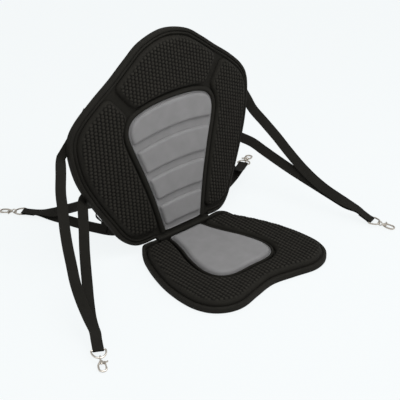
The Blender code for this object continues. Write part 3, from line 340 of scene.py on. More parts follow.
def triangulated(outline, guides, spacing):
    """Points and triangles over an outline and its guide loops, and where the outline's points went.

    The lattice between the loops has staggered rows, and keeps CLEAR_SHARE of the spacing from them.
    """
    low, high = outline.min(0), outline.max(0)
    rows = np.arange(low[1] + spacing / 2, high[1], spacing * ROW_SHARE)
    points = []
    for number, y in enumerate(rows):
        xs = np.arange(low[0] + spacing * (0.25 + 0.5 * (number % 2)), high[0], spacing)
        points.append(np.stack([xs, np.full(len(xs), y)], axis=1))
    lattice = np.vstack(points)
    lattice = lattice[inside(lattice, outline)]
    for loop in [outline, *guides]:
        lattice = lattice[edge_distance(lattice, loop) > spacing * CLEAR_SHARE]
    points, edges, start = [outline], [], len(outline)
    for loop in guides:
        points.append(loop)
        edges += [(start + k, start + (k + 1) % len(loop)) for k in range(len(loop))]
        start += len(loop)
    points = np.vstack(points + [lattice])
    made = delaunay_2d_cdt([Vector(p) for p in points], edges, [list(range(len(outline)))], 1, 1e-8)
    flat = np.array([tuple(v) for v in made[0]])
    rim = {}
    for index, origins in enumerate(made[3]):
        for origin in origins:
            if origin < len(outline):
                rim[origin] = index
    return flat, np.array(made[2]), np.array([rim[k] for k in range(len(outline))])


# %% Closed slab


def add_mesh(name, vertices, faces, material, sharp=40.0):
    """A smooth-shaded mesh object at the origin, with edges of more than sharp degrees kept sharp."""
    mesh = bpy.data.meshes.new(name)
    mesh.from_pydata(vertices.tolist(), [], faces)
    mesh.update()
    mesh.shade_smooth()
    mesh.set_sharp_from_angle(angle=math.radians(sharp))
    mesh.materials.append(material)
    made = bpy.data.objects.new(name, mesh)
    bpy.context.collection.objects.link(made)
    return made


def slab(name, outline, place, low, high, material, guides=(), spacing=0.0025, under_spacing=0.012):
    """Closed solid over an outline: high and low give the heights of its two sides, and a wall joins them."""
    top, top_faces, top_rim = triangulated(outline, guides, spacing)
    under, under_faces, under_rim = triangulated(outline, (), under_spacing)
    under_rim = under_rim + len(top)
    wall = np.stack([under_rim, np.roll(under_rim, -1), np.roll(top_rim, -1), top_rim], axis=1)
    faces = top_faces.tolist() + (under_faces[:, ::-1] + len(top)).tolist() + wall.tolist()
    top_points = place(top[:, 0], top[:, 1], high(top))
    under_points = place(under[:, 0], under[:, 1], low(under))
    return add_mesh(name, np.vstack([top_points, under_points]), faces, material)


# %% [markdown]
# ## Bands
# Tape, rims, welts and webbing are one section carried along a path. A bevelled curve would make them
# too, but its section doesn't follow a bent sheet. Here every ring of points is placed by the same
# function as the slab beside it, and quads join the rings.

# %% Rings of points to a surface


def loft(name, rings, closed, material, sharp=40.0):
    """Surface through rings of points: quads between neighbours, and end caps where it isn't closed."""
    count, sides = rings.shape[:2]
    here = np.arange(count * sides).reshape(count, sides)
    onward = np.roll(here, -1, axis=0)
    quads = np.stack([here, np.roll(here, -1, axis=1), np.roll(onward, -1, axis=1), onward], axis=2)
    faces = quads[:count if closed else count - 1].reshape(-1, 4).tolist()
    if not closed:
        faces += [here[0, ::-1].tolist(), here[-1].tolist()]
    return add_mesh(name, rings.reshape(-1, 3), faces, material, sharp)


def strip(name, path, place, profile, closed, material):
    """A band along a path in the plane; profile lists (inset, height) around its section."""
    tangent = np.roll(path, -1, axis=0) - np.roll(path, 1, axis=0) if closed else np.gradient(path, axis=0)
    tangent /= np.linalg.norm(tangent, axis=1)[:, None]
    inward = np.stack([-tangent[:, 1], tangent[:, 0]], axis=1)
    rings = []
    for inset, height in profile:
        spot = path + inward * inset
        rings.append(place(spot[:, 0], spot[:, 1], height))
    return loft(name, np.stack(rings, axis=1), closed, material)


def round_profile(width, low, high, sides, fullness=0.5):
    """Section of a band with rounded corners: a superellipse, counterclockwise along the band."""
    turns = (np.arange(sides) + 0.5) * 2 * math.pi / sides
    across = np.sign(np.cos(turns)) * np.abs(np.cos(turns)) ** fullness
    up = np.sign(np.sin(turns)) * np.abs(np.sin(turns)) ** fullness
    across /= np.abs(across).max()
    up /= np.abs(up).max()
    return [(width / 2 * (1 + a), (low + high) / 2 + (high - low) / 2 * b) for a, b in zip(across, up)]


# %% [markdown]
# ## Outlines of the backrest
# The backrest and its grey panel are drawn as halves and mirrored. The pads aren't drawn at all: their
# outlines keep a distance from the two, and two slanting channels part them. So all the gaps keep
# their widths when an outline changes.

# %% Backrest and panel outlines
BACK_HALF_OUTLINE = [
    (0.0, 0.0085), (0.050, 0.0085), (0.088, 0.0080), (0.116, 0.0055), (0.140, 0.0065), (0.162, 0.0165),
    (0.183, 0.038), (0.206, 0.076),
    (0.245, 0.143), (0.275, 0.210), (0.289, 0.280), (0.285, 0.325), (0.262, 0.361), (0.215, 0.402),
    (0.165, 0.438), (0.118, 0.474), (0.070, 0.505), (0.0, 0.520),
]
PANEL_HALF_OUTLINE = [
    (0.0, 0.0215), (0.054, 0.0215), (0.0600, 0.030), (0.071, 0.078), (0.084, 0.129), (0.098, 0.174),
    (0.111, 0.213), (0.127, 0.258), (0.135, 0.292), (0.128, 0.318), (0.105, 0.335), (0.062, 0.346),
    (0.0, 0.350),
]

back_edge = mirrored_loop(BACK_HALF_OUTLINE, False)
back_panel_edge = mirrored_loop(PANEL_HALF_OUTLINE, False)
print("backrest width", round(float(np.ptp(back_edge[:, 0])), 3))

# %% Outlines of the three pads
PAD_INSET = 0.0185
RIM_BAND = 0.0165
CHANNEL_WIDTH = 0.019
CHANNEL_START = (0.127, 0.351)
CHANNEL_DIRECTION = (0.64, 0.77)
WING_FOOT = 0.031
PAD_CORNER = 0.045

pad_limit = offset_loop(back_edge, PAD_INSET)
rim_limit = offset_loop(back_panel_edge, -RIM_BAND)


def unit(vector):
    """The vector at length one."""
    vector = np.asarray(vector, float)
    return vector / np.linalg.norm(vector)


def above_channel(points, side):
    """Signed distance of points from the channel on one side, positive toward the top pad."""
    away = points * (side, 1) - CHANNEL_START
    run = unit(CHANNEL_DIRECTION)
    return run[0] * away[:, 1] - run[1] * away[:, 0]


def pad_outlines():
    """Outlines of the top pad and the right wing's pad: stretches of both limits, joined and softened."""
    half = CHANNEL_WIDTH / 2

    def over_both(p):
        return (above_channel(p, 1) > half) & (above_channel(p, -1) > half)

    def beside(p):
        return (p[:, 0] > 0) & (above_channel(p, 1) < -half) & (p[:, 1] > WING_FOOT)

    made = []
    for chosen in (over_both, beside):
        outer, inner = open_part(pad_limit, chosen), open_part(rim_limit, chosen)
        made.append(softened(np.vstack([outer, inner[::-1]]), PAD_CORNER))
    return made


top_pad_edge, right_pad_edge = pad_outlines()
left_pad_edge = (right_pad_edge * (-1, 1))[::-1]
print("top pad width", round(float(np.ptp(top_pad_edge[:, 0])), 3))

# %% [markdown]
# ## Shell of the backrest
# The shell is the foam board in its plain cover. It shows between the pads and behind, and the cover
# makes a soft ridge beside the tape. The ridge fades out at the foot, where the hinge is sewn on. It
# could be sculpted, but would be lost with every change of the outline, so it is part of the height.

# %% Shell with its ridge
BINDING_WIDTH = 0.0085
TAPE_OVERLAP = 0.001
SHELL_THICKNESS = 0.012
GROUND = 0.0008
RIDGE_HEIGHT = 0.0046
RIDGE_START = 0.0012
RIDGE_WIDTH = 0.0078
RIDGE_END = 0.080
RIDGE_FADE = 0.025
FOOT_ZONE = 0.2
EDGE_STEP = 0.004
SHELL_GUIDES = (0.0012, 0.0030, 0.0050, 0.0070, 0.0090)


def level(height):
    """A height that is the same everywhere."""
    return lambda points: np.full(len(points), height)


def smooth_step(x):
    """0 below 0, 1 above 1, and 3x^2 - 2x^3 between."""
    x = np.clip(x, 0.0, 1.0)
    return x * x * (3 - 2 * x)


def ridge(depth, start, width):
    """Half a sine wave to the power 0.7 between depth start and start plus width, 0 elsewhere."""
    share = (depth - start) / width
    return np.where((share > 0) & (share < 1), np.sin(np.clip(share, 0, 1) * math.pi) ** 0.7, 0.0)


def shell_front(points):
    """Ground between the pads: a ridge near the edge that fades out over the hinge."""
    depth = edge_distance(points, back_edge) - BINDING_WIDTH
    fade = smooth_step((np.abs(points[:, 0]) - RIDGE_END) / RIDGE_FADE)
    fade = np.where(points[:, 1] < FOOT_ZONE, fade, 1.0)
    return GROUND + RIDGE_HEIGHT * ridge(depth, RIDGE_START, RIDGE_WIDTH) * fade


shell_edge = spaced(offset_loop(back_edge, BINDING_WIDTH - TAPE_OVERLAP), EDGE_STEP)
shell_guides = [spaced(offset_loop(back_edge, BINDING_WIDTH + inset), EDGE_STEP) for inset in SHELL_GUIDES]
back_shell = slab("backrest_shell", shell_edge, on_back, level(-SHELL_THICKNESS), shell_front, black_fabric,
                  shell_guides, spacing=0.006)
print("shell faces:", len(back_shell.data.polygons))

# %% Binding tape
TAPE_WIDTH = 0.0090
TAPE_SIDES = 16
BACK_TAPE = (-0.0125, 0.0048)  # its rear and its front
TAPE_END = 0.0870

binding_path = open_part(spaced(back_edge, EDGE_STEP),
                         lambda p: (np.abs(p[:, 0]) > TAPE_END) | (p[:, 1] > FOOT_ZONE))
back_binding = strip("backrest_binding", binding_path, on_back,
                     round_profile(TAPE_WIDTH, *BACK_TAPE, TAPE_SIDES), False, smooth_black)
print("tape faces:", len(back_binding.data.polygons))

# %% Smooth rim round the panel
FINE_STEP = 0.003
RIM_PATH = 0.0132
RIM_FOOT = 0.0205
RIM_RADIUS = 0.0067
RIM_BASE = 0.0005
RIM_HEIGHT = 0.0082

rim_path = open_part(spaced(offset_loop(back_panel_edge, -RIM_PATH), FINE_STEP), lambda p: p[:, 1] > RIM_FOOT)
rim_section = [(0.0, 0.0), (2 * RIM_RADIUS, 0.0)] + [
    (RIM_RADIUS + RIM_RADIUS * math.cos(a), RIM_BASE + RIM_HEIGHT * math.sin(a) ** 0.75)
    for a in np.radians(np.linspace(4.0, 176.0, 15))]
back_rim = strip("backrest_rim", rim_path, on_back, rim_section, False, smooth_black)
print("rim faces:", len(back_rim.data.polygons))

# %% [markdown]
# ## Textured pads
# The pads are foam, moulded with a staggered lattice of small bumps, and pressed thin along the seam.
# The bumps are about 10 mm apart and catch the light one by one, so they are geometry. A displacement
# texture would need an image and a finer mesh still, while a height function needs neither. The material
# paints the pits darker as shade and the bumps lighter as highlight, so each point also keeps its share of
# the bump for it.

# %% Bumps and rounded edges
PAD_HEIGHT = 0.0138
PAD_FLOOR = -0.001
PAD_SEAM = 0.0012
PAD_ROUNDING = 0.013
PAD_EDGE_STEP = 0.0035
PAD_GUIDE_SHARES = (0.04, 0.12, 0.26)
PAD_MESH_STEP = 0.0017
BUMP_HEIGHT = 0.0024
BUMP_RADIUS = 0.0046
BUMP_MIDDLE = 0.6
BUMP_FADE_START = 0.003
BUMP_FADE = 0.007
BACK_BUMPS = (0.0103, 0.0093)  # pitch across and along


def quarter_round(depth, size):
    """Height share of a quarter circle of that size, at a depth inside the edge."""
    share = np.clip(depth / size, 0.0, 1.0)
    return np.sqrt(1.0 - (1.0 - share) ** 2)


def bumps(points, pitch_across, pitch_along, radius):
    """Staggered lattice of round bumps: half a ball of that radius at every lattice point, 0 to 1."""
    column = np.round(points[:, 0] / pitch_across)
    best = np.full(len(points), np.inf)
    for side in (-1, 0, 1):
        near = column + side
        stagger = 0.5 * pitch_along * (np.mod(near, 2))
        row = np.round((points[:, 1] - stagger) / pitch_along)
        for step in (-1, 0, 1):
            dx = points[:, 0] - near * pitch_across
            dy = points[:, 1] - (row + step) * pitch_along - stagger
            best = np.minimum(best, np.hypot(dx, dy))
    return np.sqrt(np.clip(1.0 - (best / radius) ** 2, 0.0, 1.0))


# %% Build the three pads


def textured_pad(name, outline, place, low, foot, full, rounding, pitches):
    """A pad whose edge is a quarter round and whose top carries the bumps, faded out at its edge.

    The share of each bump is kept in the attribute relief, which the material reads to paint shade into the
    pits and highlight onto the bumps.
    """
    outline = spaced(outline, PAD_EDGE_STEP)
    guides = [spaced(offset_loop(outline, rounding * share), PAD_EDGE_STEP) for share in PAD_GUIDE_SHARES]
    reliefs = []

    def height(points):
        depth = edge_distance(points, outline)
        fade = smooth_step((depth - BUMP_FADE_START) / BUMP_FADE)
        lattice = bumps(points, *pitches, BUMP_RADIUS)
        reliefs.append(0.5 + (lattice - 0.5) * fade)
        body = foot + (full - foot) * quarter_round(depth, rounding)
        return body + BUMP_HEIGHT * fade * (lattice - BUMP_MIDDLE)

    pad = slab(name, outline, place, level(low), height, dimpled_fabric, guides, PAD_MESH_STEP)
    relief = pad.data.attributes.new("relief", "FLOAT", "POINT")
    values = np.full(len(pad.data.vertices), 0.5)
    values[:len(reliefs[0])] = reliefs[0]
    relief.data.foreach_set("value", values.astype(np.float32))
    return pad


back_pads = []
for name, outline in (("top", top_pad_edge), ("left", left_pad_edge), ("right", right_pad_edge)):
    back_pads.append(textured_pad(f"backrest_pad_{name}", outline, on_back, PAD_FLOOR, PAD_SEAM, PAD_HEIGHT,
                                  PAD_ROUNDING, BACK_BUMPS))
print("pad faces:", [len(pad.data.polygons) for pad in back_pads])

# %% [markdown]
# ## Grey panel of the backrest
# Grey fabric lies over four foam lobes with arched seams between them, and its edge is piped. Pressure
# in a cloth simulation could puff the lobes up, but these are moulded and keep one shape. So two arched
# lines cut each lobe's outline out of the panel's border, and a quarter round raises it.

# %% Outlines of the lobes
LOBE_ARCH = 1.0
LOBE_MARGIN = 0.0045
LOBE_BANDS = [(0.039, 0.095), (0.113, 0.174), (0.193, 0.258), (0.281, 0.400)]
LOBE_CORNER = 0.010
ARCH_POINTS = 41


def lobe_outline(border, low, high):
    """Outline of one lobe: the border between two arched lines, v plus LOBE_ARCH times u squared.

    A lobe whose upper line lies past the border keeps the border's own top.
    """
    arched = border[:, 1] + LOBE_ARCH * border[:, 0] ** 2
    between = (arched > low) & (arched < high)
    right_side = border[between & (border[:, 0] > 0)]
    left_side = border[between & (border[:, 0] < 0)]
    right_side = right_side[np.argsort(right_side[:, 1])]
    left_side = left_side[np.argsort(-left_side[:, 1])]
    foot_u = np.linspace(left_side[-1, 0], right_side[0, 0], ARCH_POINTS)[1:-1]
    parts = [np.stack([foot_u, low - LOBE_ARCH * foot_u ** 2], axis=1), right_side]
    if high < arched.max():
        head_u = np.linspace(right_side[-1, 0], left_side[0, 0], ARCH_POINTS)[1:-1]
        parts.append(np.stack([head_u, high - LOBE_ARCH * head_u ** 2], axis=1))
    return softened(np.vstack(parts + [left_side]), LOBE_CORNER)


lobes = [lobe_outline(offset_loop(back_panel_edge, LOBE_MARGIN), low, high) for low, high in LOBE_BANDS]
print("lobe heights:", [round(float(np.ptp(lobe[:, 1])), 3) for lobe in lobes])

# %% Panel with its lobes
LOBE_RISE = 0.0072
LOBE_ROUNDING = 0.0050
LOBE_GUIDES = (0.0006, 0.002)
PANEL_SKIN = 0.0042
PANEL_FLOOR = -0.0005
PANEL_STEP = 0.0035
PIPING_HEIGHT = 0.0016
PIPING_WIDTH = 0.0026


def panel_height(points):
    """Skin with a piped edge plus, inside each lobe, a quarter round rising from the lobe's edge."""
    height = PANEL_SKIN + PIPING_HEIGHT * ridge(edge_distance(points, back_panel_edge), 0.0, PIPING_WIDTH)
    for lobe in lobes:
        depth = edge_distance(points, lobe)
        swell = quarter_round(depth, LOBE_ROUNDING) * LOBE_RISE
        height += np.where(inside(points, lobe), swell, 0.0)
    return height


panel_guides = [spaced(lobe, FINE_STEP) for lobe in lobes]
for lobe in lobes:
    panel_guides += [spaced(offset_loop(spaced(lobe, FINE_STEP), inset), FINE_STEP) for inset in LOBE_GUIDES]
for inset in (PIPING_WIDTH / 2, PIPING_WIDTH):
    panel_guides.append(spaced(offset_loop(back_panel_edge, inset), FINE_STEP))
back_panel = slab("backrest_panel", spaced(back_panel_edge, FINE_STEP), on_back, level(PANEL_FLOOR),
                  panel_height, grey_fabric, panel_guides, PANEL_STEP)
print("panel faces:", len(back_panel.data.polygons))

# %% [markdown]
# ## Cushion
# The cushion is built up like the backrest, but flat: a thin base bound with tape, one horseshoe of
# textured pad, and a grey panel in its opening with a welt round it. A copy of the backrest could be
# reshaped, but the same helpers with another placing function keep both in step.

# %% Cushion outlines
SEAT_HALF_OUTLINE = [
    (0.0, 0.0045), (0.080, 0.0045), (0.108, 0.0075), (0.130, 0.0050), (0.149, -0.018), (0.167, -0.051),
    (0.188, -0.102), (0.205, -0.160), (0.213, -0.220), (0.210, -0.268), (0.193, -0.306), (0.160, -0.331),
    (0.118, -0.338), (0.062, -0.326),
    (0.0, -0.315),
]
SEAT_PANEL_HALF_OUTLINE = [
    (0.0, -0.0085), (0.046, -0.0085), (0.0530, -0.018), (0.058, -0.042), (0.068, -0.074), (0.083, -0.112),
    (0.094, -0.152), (0.098, -0.186), (0.091, -0.216), (0.070, -0.234), (0.040, -0.239), (0.0, -0.238),
]
SEAT_PAD_INSET = 0.0115
SEAT_RIM_BAND = 0.0110
SEAT_PAD_REAR = -0.0085
SEAT_PAD_CORNER = 0.018


def on_floor(x, y, z):
    """Points of the cushion, which is drawn flat."""
    x, y, z = np.broadcast_arrays(np.asarray(x, float), np.asarray(y, float), np.asarray(z, float))
    return in_frame(np.stack([x, y, z], axis=-1))


seat_edge = mirrored_loop(SEAT_HALF_OUTLINE, True)
seat_panel_edge = mirrored_loop(SEAT_PANEL_HALF_OUTLINE, True)
seat_outer = open_part(offset_loop(seat_edge, SEAT_PAD_INSET), lambda p: p[:, 1] < SEAT_PAD_REAR)
seat_inner = open_part(offset_loop(seat_panel_edge, -SEAT_RIM_BAND), lambda p: p[:, 1] < SEAT_PAD_REAR)
seat_pad_edge = softened(np.vstack([seat_outer, seat_inner[::-1]]), SEAT_PAD_CORNER)
print("cushion width", round(float(np.ptp(seat_edge[:, 0])), 3))

# %% Cushion base
SEAT_BINDING_WIDTH = 0.0085
SEAT_BASE_TOP = 0.0125
SEAT_EDGE_STEP = 0.005

base_edge = spaced(offset_loop(seat_edge, SEAT_BINDING_WIDTH - TAPE_OVERLAP), SEAT_EDGE_STEP)
seat_base = slab("cushion_base", base_edge, on_floor, level(0.0), level(SEAT_BASE_TOP), smooth_black,
                 spacing=0.010, under_spacing=0.03)
print("base faces:", len(seat_base.data.polygons))

# %% Tape and welt of the cushion
SEAT_TAPE = (0.0004, 0.0152)  # its underside and its top
REAR_RISE = 0.66
REAR_START, REAR_EASE = -0.034, 0.030
CORNER_START, CORNER_EASE = 0.0765, 0.005
WELT_PATH = 0.0064
WELT_WIDTH = 0.0062
WELT_TOP = 0.0230
WELT_REAR = -0.012


def raised_rear(x, y, z):
    """Points of the cushion's edge: a smooth step in y times one in x raises both rear corners."""
    rear = smooth_step((y - REAR_START) / REAR_EASE) * smooth_step((np.abs(x) - CORNER_START) / CORNER_EASE)
    return on_floor(x, y, z * (1.0 + REAR_RISE * rear))


seat_binding = strip("cushion_binding", spaced(seat_edge, EDGE_STEP), raised_rear,
                     round_profile(TAPE_WIDTH, *SEAT_TAPE, TAPE_SIDES), True, smooth_black)
welt_path = open_part(spaced(offset_loop(seat_panel_edge, -WELT_PATH), FINE_STEP),
                      lambda p: p[:, 1] < WELT_REAR)
welt_section = round_profile(WELT_WIDTH, SEAT_BASE_TOP - 0.001, WELT_TOP, 12, 0.7)
seat_welt = strip("cushion_welt", welt_path, on_floor, welt_section, False, smooth_black)
print("tape and welt faces:", len(seat_binding.data.polygons), len(seat_welt.data.polygons))

# %% Cushion pad
SEAT_PAD_TOP = 0.0288
SEAT_PAD_SEAM = 0.002
SEAT_PAD_ROUNDING = 0.014
SEAT_BUMPS = (0.0108, 0.0094)  # pitch across and along
SEAT_SINK = 0.0005

seat_pad = textured_pad("cushion_pad", seat_pad_edge, on_floor, SEAT_BASE_TOP - SEAT_SINK,
                        SEAT_BASE_TOP + SEAT_PAD_SEAM, SEAT_PAD_TOP, SEAT_PAD_ROUNDING, SEAT_BUMPS)
print("cushion pad faces:", len(seat_pad.data.polygons))

# %% Grey panel of the cushion
SEAT_PANEL_TOP = 0.0283
SEAT_FLANGE = 0.0195
SHOULDER_START = 0.0045
SHOULDER = 0.009
SHOULDER_GUIDES = (0.0051, 0.007, 0.010)


def seat_panel_height(points):
    """Flange with a piped edge, then a quarter round that rises to a nearly flat middle."""
    depth = edge_distance(points, spaced(seat_panel_edge, FINE_STEP))
    piping = 2 * PIPING_HEIGHT * ridge(depth, 0.0, PIPING_WIDTH)
    shoulder = quarter_round(depth - SHOULDER_START, SHOULDER)
    return SEAT_FLANGE + piping + (SEAT_PANEL_TOP - SEAT_FLANGE) * shoulder


seat_panel_guides = [spaced(offset_loop(seat_panel_edge, inset), FINE_STEP)
                     for inset in (PIPING_WIDTH / 2, PIPING_WIDTH, SHOULDER_START, *SHOULDER_GUIDES)]
seat_panel = slab("cushion_panel", spaced(seat_panel_edge, FINE_STEP), on_floor,
                  level(SEAT_BASE_TOP - SEAT_SINK), seat_panel_height, grey_fabric, seat_panel_guides,
                  PANEL_STEP, 0.02)
print("cushion panel faces:", len(seat_panel.data.polygons))

# %% [markdown]
# ## Sewn fold
# Cushion and backrest hang together by a rolled seam. It belongs to the backrest and turns in a cuff of
# fabric on the cushion, both round the fold line. One blended skin across the fold could stretch, but a
# roll in a cuff stays whole at every angle, because a round section turned on its own axis keeps its place.

# %% Rolled seam
HINGE_V = 0.0060
HINGE_T = 0.0040
ROLL_RADIUS = 0.0042
HINGE_HALF = 0.086
ROLL_STATIONS = 41

wrap = np.radians(np.linspace(205.0, 460.0, 22))
roll = [(HINGE_T + ROLL_RADIUS * math.cos(a), HINGE_V + ROLL_RADIUS * math.sin(a), 0.0) for a in wrap]
tongue = [(-0.0012, 0.0125, 1.0), (-0.0012, 0.0185, 1.0), (-0.0100, 0.0185, 1.0), (-0.0100, 0.0105, 1.0)]
across = np.linspace(-HINGE_HALF, HINGE_HALF, ROLL_STATIONS)[:, None]
out, up_sheet, bowed = np.array(roll + tongue).T  # bowed is 0 where the section stays straight across
roll_rings = on_back(across, up_sheet, out + (1.0 - bowed) * bow(up_sheet) * across * across)
hinge_roll = loft("hinge_roll_seam", roll_rings[::-1], False, smooth_black, 60.0)
print("roll rings:", roll_rings.shape[:2])

# %% Cuff on the cushion
CUFF_INNER = 0.0045
CUFF_OUTER = 0.0062
CUFF_HALF = 0.0815
CUFF_STATIONS = 39

axis_place = on_back(0.0, HINGE_V, HINGE_T) - (0.0, FOOT_Y, 0.0)
cuff = []
for radius, angles in ((CUFF_INNER, np.linspace(290.0, 158.0, 20)),
                       (CUFF_OUTER, np.linspace(158.0, 200.0, 7))):
    for a in np.radians(angles):
        cuff.append((axis_place[1] + radius * math.cos(a), axis_place[2] + radius * math.sin(a)))
cuff += [(-0.0080, 0.0200), (-0.0078, 0.0145), (0.0004, 0.0145), (0.0004, 0.0205)]
cuff_rings = on_floor(np.linspace(-CUFF_HALF, CUFF_HALF, CUFF_STATIONS)[:, None], *np.array(cuff).T)
hinge_cuff = loft("hinge_cuff_fabric", cuff_rings, False, smooth_black, 60.0)
print("cuff rings:", cuff_rings.shape[:2])

# %% [markdown]
# ## Webbing
# Each side has two branches of 25 mm webbing at the front and two at the rear. Each is sewn flat behind
# the backrest, leaves it and runs to a D ring. The upper branch wraps the ring's bar, and the lower one
# ends between its layers. A curve with a flat bevel would twist where it likes, so the thin section is
# carried along the route by normals that say at every station how the face is turned.

# %% Where each branch runs freely
WEBBING_WIDTH = 0.025
WEBBING_THICKNESS = 0.0015

FREE_RUNS = {
    ("front_left", "upper"): [
        (-0.324, 0.061, 0.265), (-0.348, 0.033, 0.238), (-0.368, 0.002, 0.211), (-0.388, -0.028, 0.184),
        (-0.406, -0.059, 0.158), (-0.423, -0.092, 0.132), (-0.439, -0.124, 0.105), (-0.451, -0.158, 0.079),
        (-0.460, -0.192, 0.056)],
    ("front_left", "lower"): [
        (-0.278, 0.044, 0.160), (-0.308, 0.005, 0.140), (-0.339, -0.034, 0.120), (-0.369, -0.074, 0.101),
        (-0.398, -0.114, 0.083), (-0.427, -0.154, 0.067), (-0.453, -0.193, 0.0500)],
    ("front_right", "upper"): [
        (0.307, 0.069, 0.237), (0.309, 0.026, 0.210), (0.312, -0.017, 0.182), (0.317, -0.054, 0.152),
        (0.324, -0.091, 0.122), (0.333, -0.126, 0.096), (0.345, -0.158, 0.074), (0.357, -0.189, 0.0575),
        (0.368, -0.214, 0.0455)],
    ("front_right", "lower"): [
        (0.282, 0.041, 0.155), (0.291, 0.006, 0.140), (0.300, -0.029, 0.125), (0.310, -0.063, 0.110),
        (0.322, -0.095, 0.095), (0.335, -0.126, 0.080), (0.348, -0.157, 0.065), (0.361, -0.188, 0.0500),
        (0.371, -0.214, 0.0378)],
    ("rear_left", "upper"): [
        (-0.182, 0.066, 0.160), (-0.184, 0.092, 0.138), (-0.179, 0.118, 0.118), (-0.172, 0.150, 0.099),
        (-0.167, 0.179, 0.083), (-0.165, 0.204, 0.069), (-0.165, 0.228, 0.055), (-0.168, 0.250, 0.0430),
        (-0.174, 0.270, 0.0325), (-0.182, 0.290, 0.0235)],
    ("rear_left", "lower"): [
        (-0.143, 0.050, 0.058), (-0.146, 0.075, 0.045), (-0.145, 0.100, 0.033), (-0.145, 0.126, 0.0245),
        (-0.146, 0.149, 0.0190), (-0.149, 0.168, 0.0160), (-0.153, 0.185, 0.0142), (-0.158, 0.203, 0.0135),
        (-0.163, 0.222, 0.0130), (-0.168, 0.244, 0.0120), (-0.174, 0.268, 0.0108), (-0.181, 0.292, 0.0100)],
    ("rear_right", "upper"): [
        (0.196, 0.064, 0.150), (0.220, 0.078, 0.123), (0.243, 0.091, 0.097), (0.265, 0.103, 0.073),
        (0.286, 0.115, 0.051), (0.305, 0.126, 0.0345), (0.323, 0.137, 0.0225)],
    ("rear_right", "lower"): [
        (0.150, 0.044, 0.050), (0.172, 0.057, 0.036), (0.198, 0.073, 0.0245), (0.225, 0.089, 0.0172),
        (0.252, 0.104, 0.0135), (0.280, 0.118, 0.0110), (0.308, 0.132, 0.0098)],
}
print("branches:", len(FREE_RUNS))

# %% Where each is sewn, and how its ring lies
ANCHORS = {
    ("front_left", "upper"): ((-0.226, 0.378), (-0.62, -0.78), 0.125),
    ("front_left", "lower"): ((-0.200, 0.228), (-0.66, -0.75), 0.092),
    ("front_right", "upper"): ((0.222, 0.366), (0.62, -0.78), 0.125),
    ("front_right", "lower"): ((0.200, 0.228), (0.66, -0.75), 0.092),
    ("rear_left", "upper"): ((-0.114, 0.202), (-0.80, -0.60), 0.070),
    ("rear_left", "lower"): ((-0.067, 0.080), (-0.90, -0.436), 0.070),
    ("rear_right", "upper"): ((0.114, 0.202), (0.80, -0.60), 0.070),
    ("rear_right", "lower"): ((0.074, 0.092), (0.80, -0.60), 0.070),
}
BRIDLES = {
    "front_left": dict(bar=(-0.4884, -0.2585, 0.0165), heading=(-0.50, -0.866), fall=27.0,
                       facing=(-0.60, -0.62, 0.50), turn=0.050),
    "front_right": dict(bar=(0.3936, -0.2779, 0.0105), heading=(0.28, -0.96), fall=25.0,
                        facing=(-0.60, -0.62, 0.50), turn=0.050),
    "rear_left": dict(bar=(-0.220, 0.365, 0.0102), heading=(-0.55, 0.835), fall=0.0,
                      facing=(-0.75, -0.35, 0.56), turn=0.060),
    "rear_right": dict(bar=(0.3835, 0.172, 0.0102), heading=(0.88, 0.475), fall=0.0,
                       facing=(0.0, 0.0, 1.0), turn=0.160),
}
print("rings:", list(BRIDLES))

# %% Directions along a route


def sheet_normal(u, v):
    """Unit normals of the bowed sheet toward its front, from small steps in u and v."""
    across = on_back(u + 0.0005, v, 0.0) - on_back(u - 0.0005, v, 0.0)
    rise = on_back(u, v + 0.0005, 0.0) - on_back(u, v - 0.0005, 0.0)
    normal = np.cross(across, rise)
    return normal / np.linalg.norm(normal, axis=1)[:, None]


def stretched(points, step):
    """Open smooth curve through the points, with stations about step apart."""
    fine = smooth_through(points, 24, False)
    along = walked_along(fine)
    stops = np.linspace(0.0, along[-1], max(int(round(along[-1] / step)), 2) + 1)
    return np.stack([np.interp(stops, along, fine[:, k]) for k in range(3)], axis=1)


def ring_axes(bridle):
    """The D ring's bar, and the directions along the stacked webbing, across it and up from it."""
    spec = BRIDLES[bridle]
    level = np.array([*unit(spec["heading"]), 0.0])
    across = np.cross([0.0, 0.0, 1.0], level)
    fall = math.radians(spec["fall"])
    ahead = level * math.cos(fall) - np.array([0.0, 0.0, math.sin(fall)])
    return in_frame(spec["bar"]), ahead, across, np.cross(ahead, across)


# %% Route of one branch
ROUTE_STEP = 0.005
SEWN_GAP = 0.0006
LAYER_GAP = 0.0003
BAR_GAP = 0.0001
D_WIRE_RADIUS = 0.0021
STACK_LENGTH = 0.045
STACK_FLOAT = 0.0014
STACK_TURN = 0.090
SANDWICH_SHORT = 0.010
TAIL_LENGTH = 0.032
LEAD_IN = 0.016
LEAD_CUT = 0.020
TURN_LEAD = 0.014
WRAP_POINTS = 17


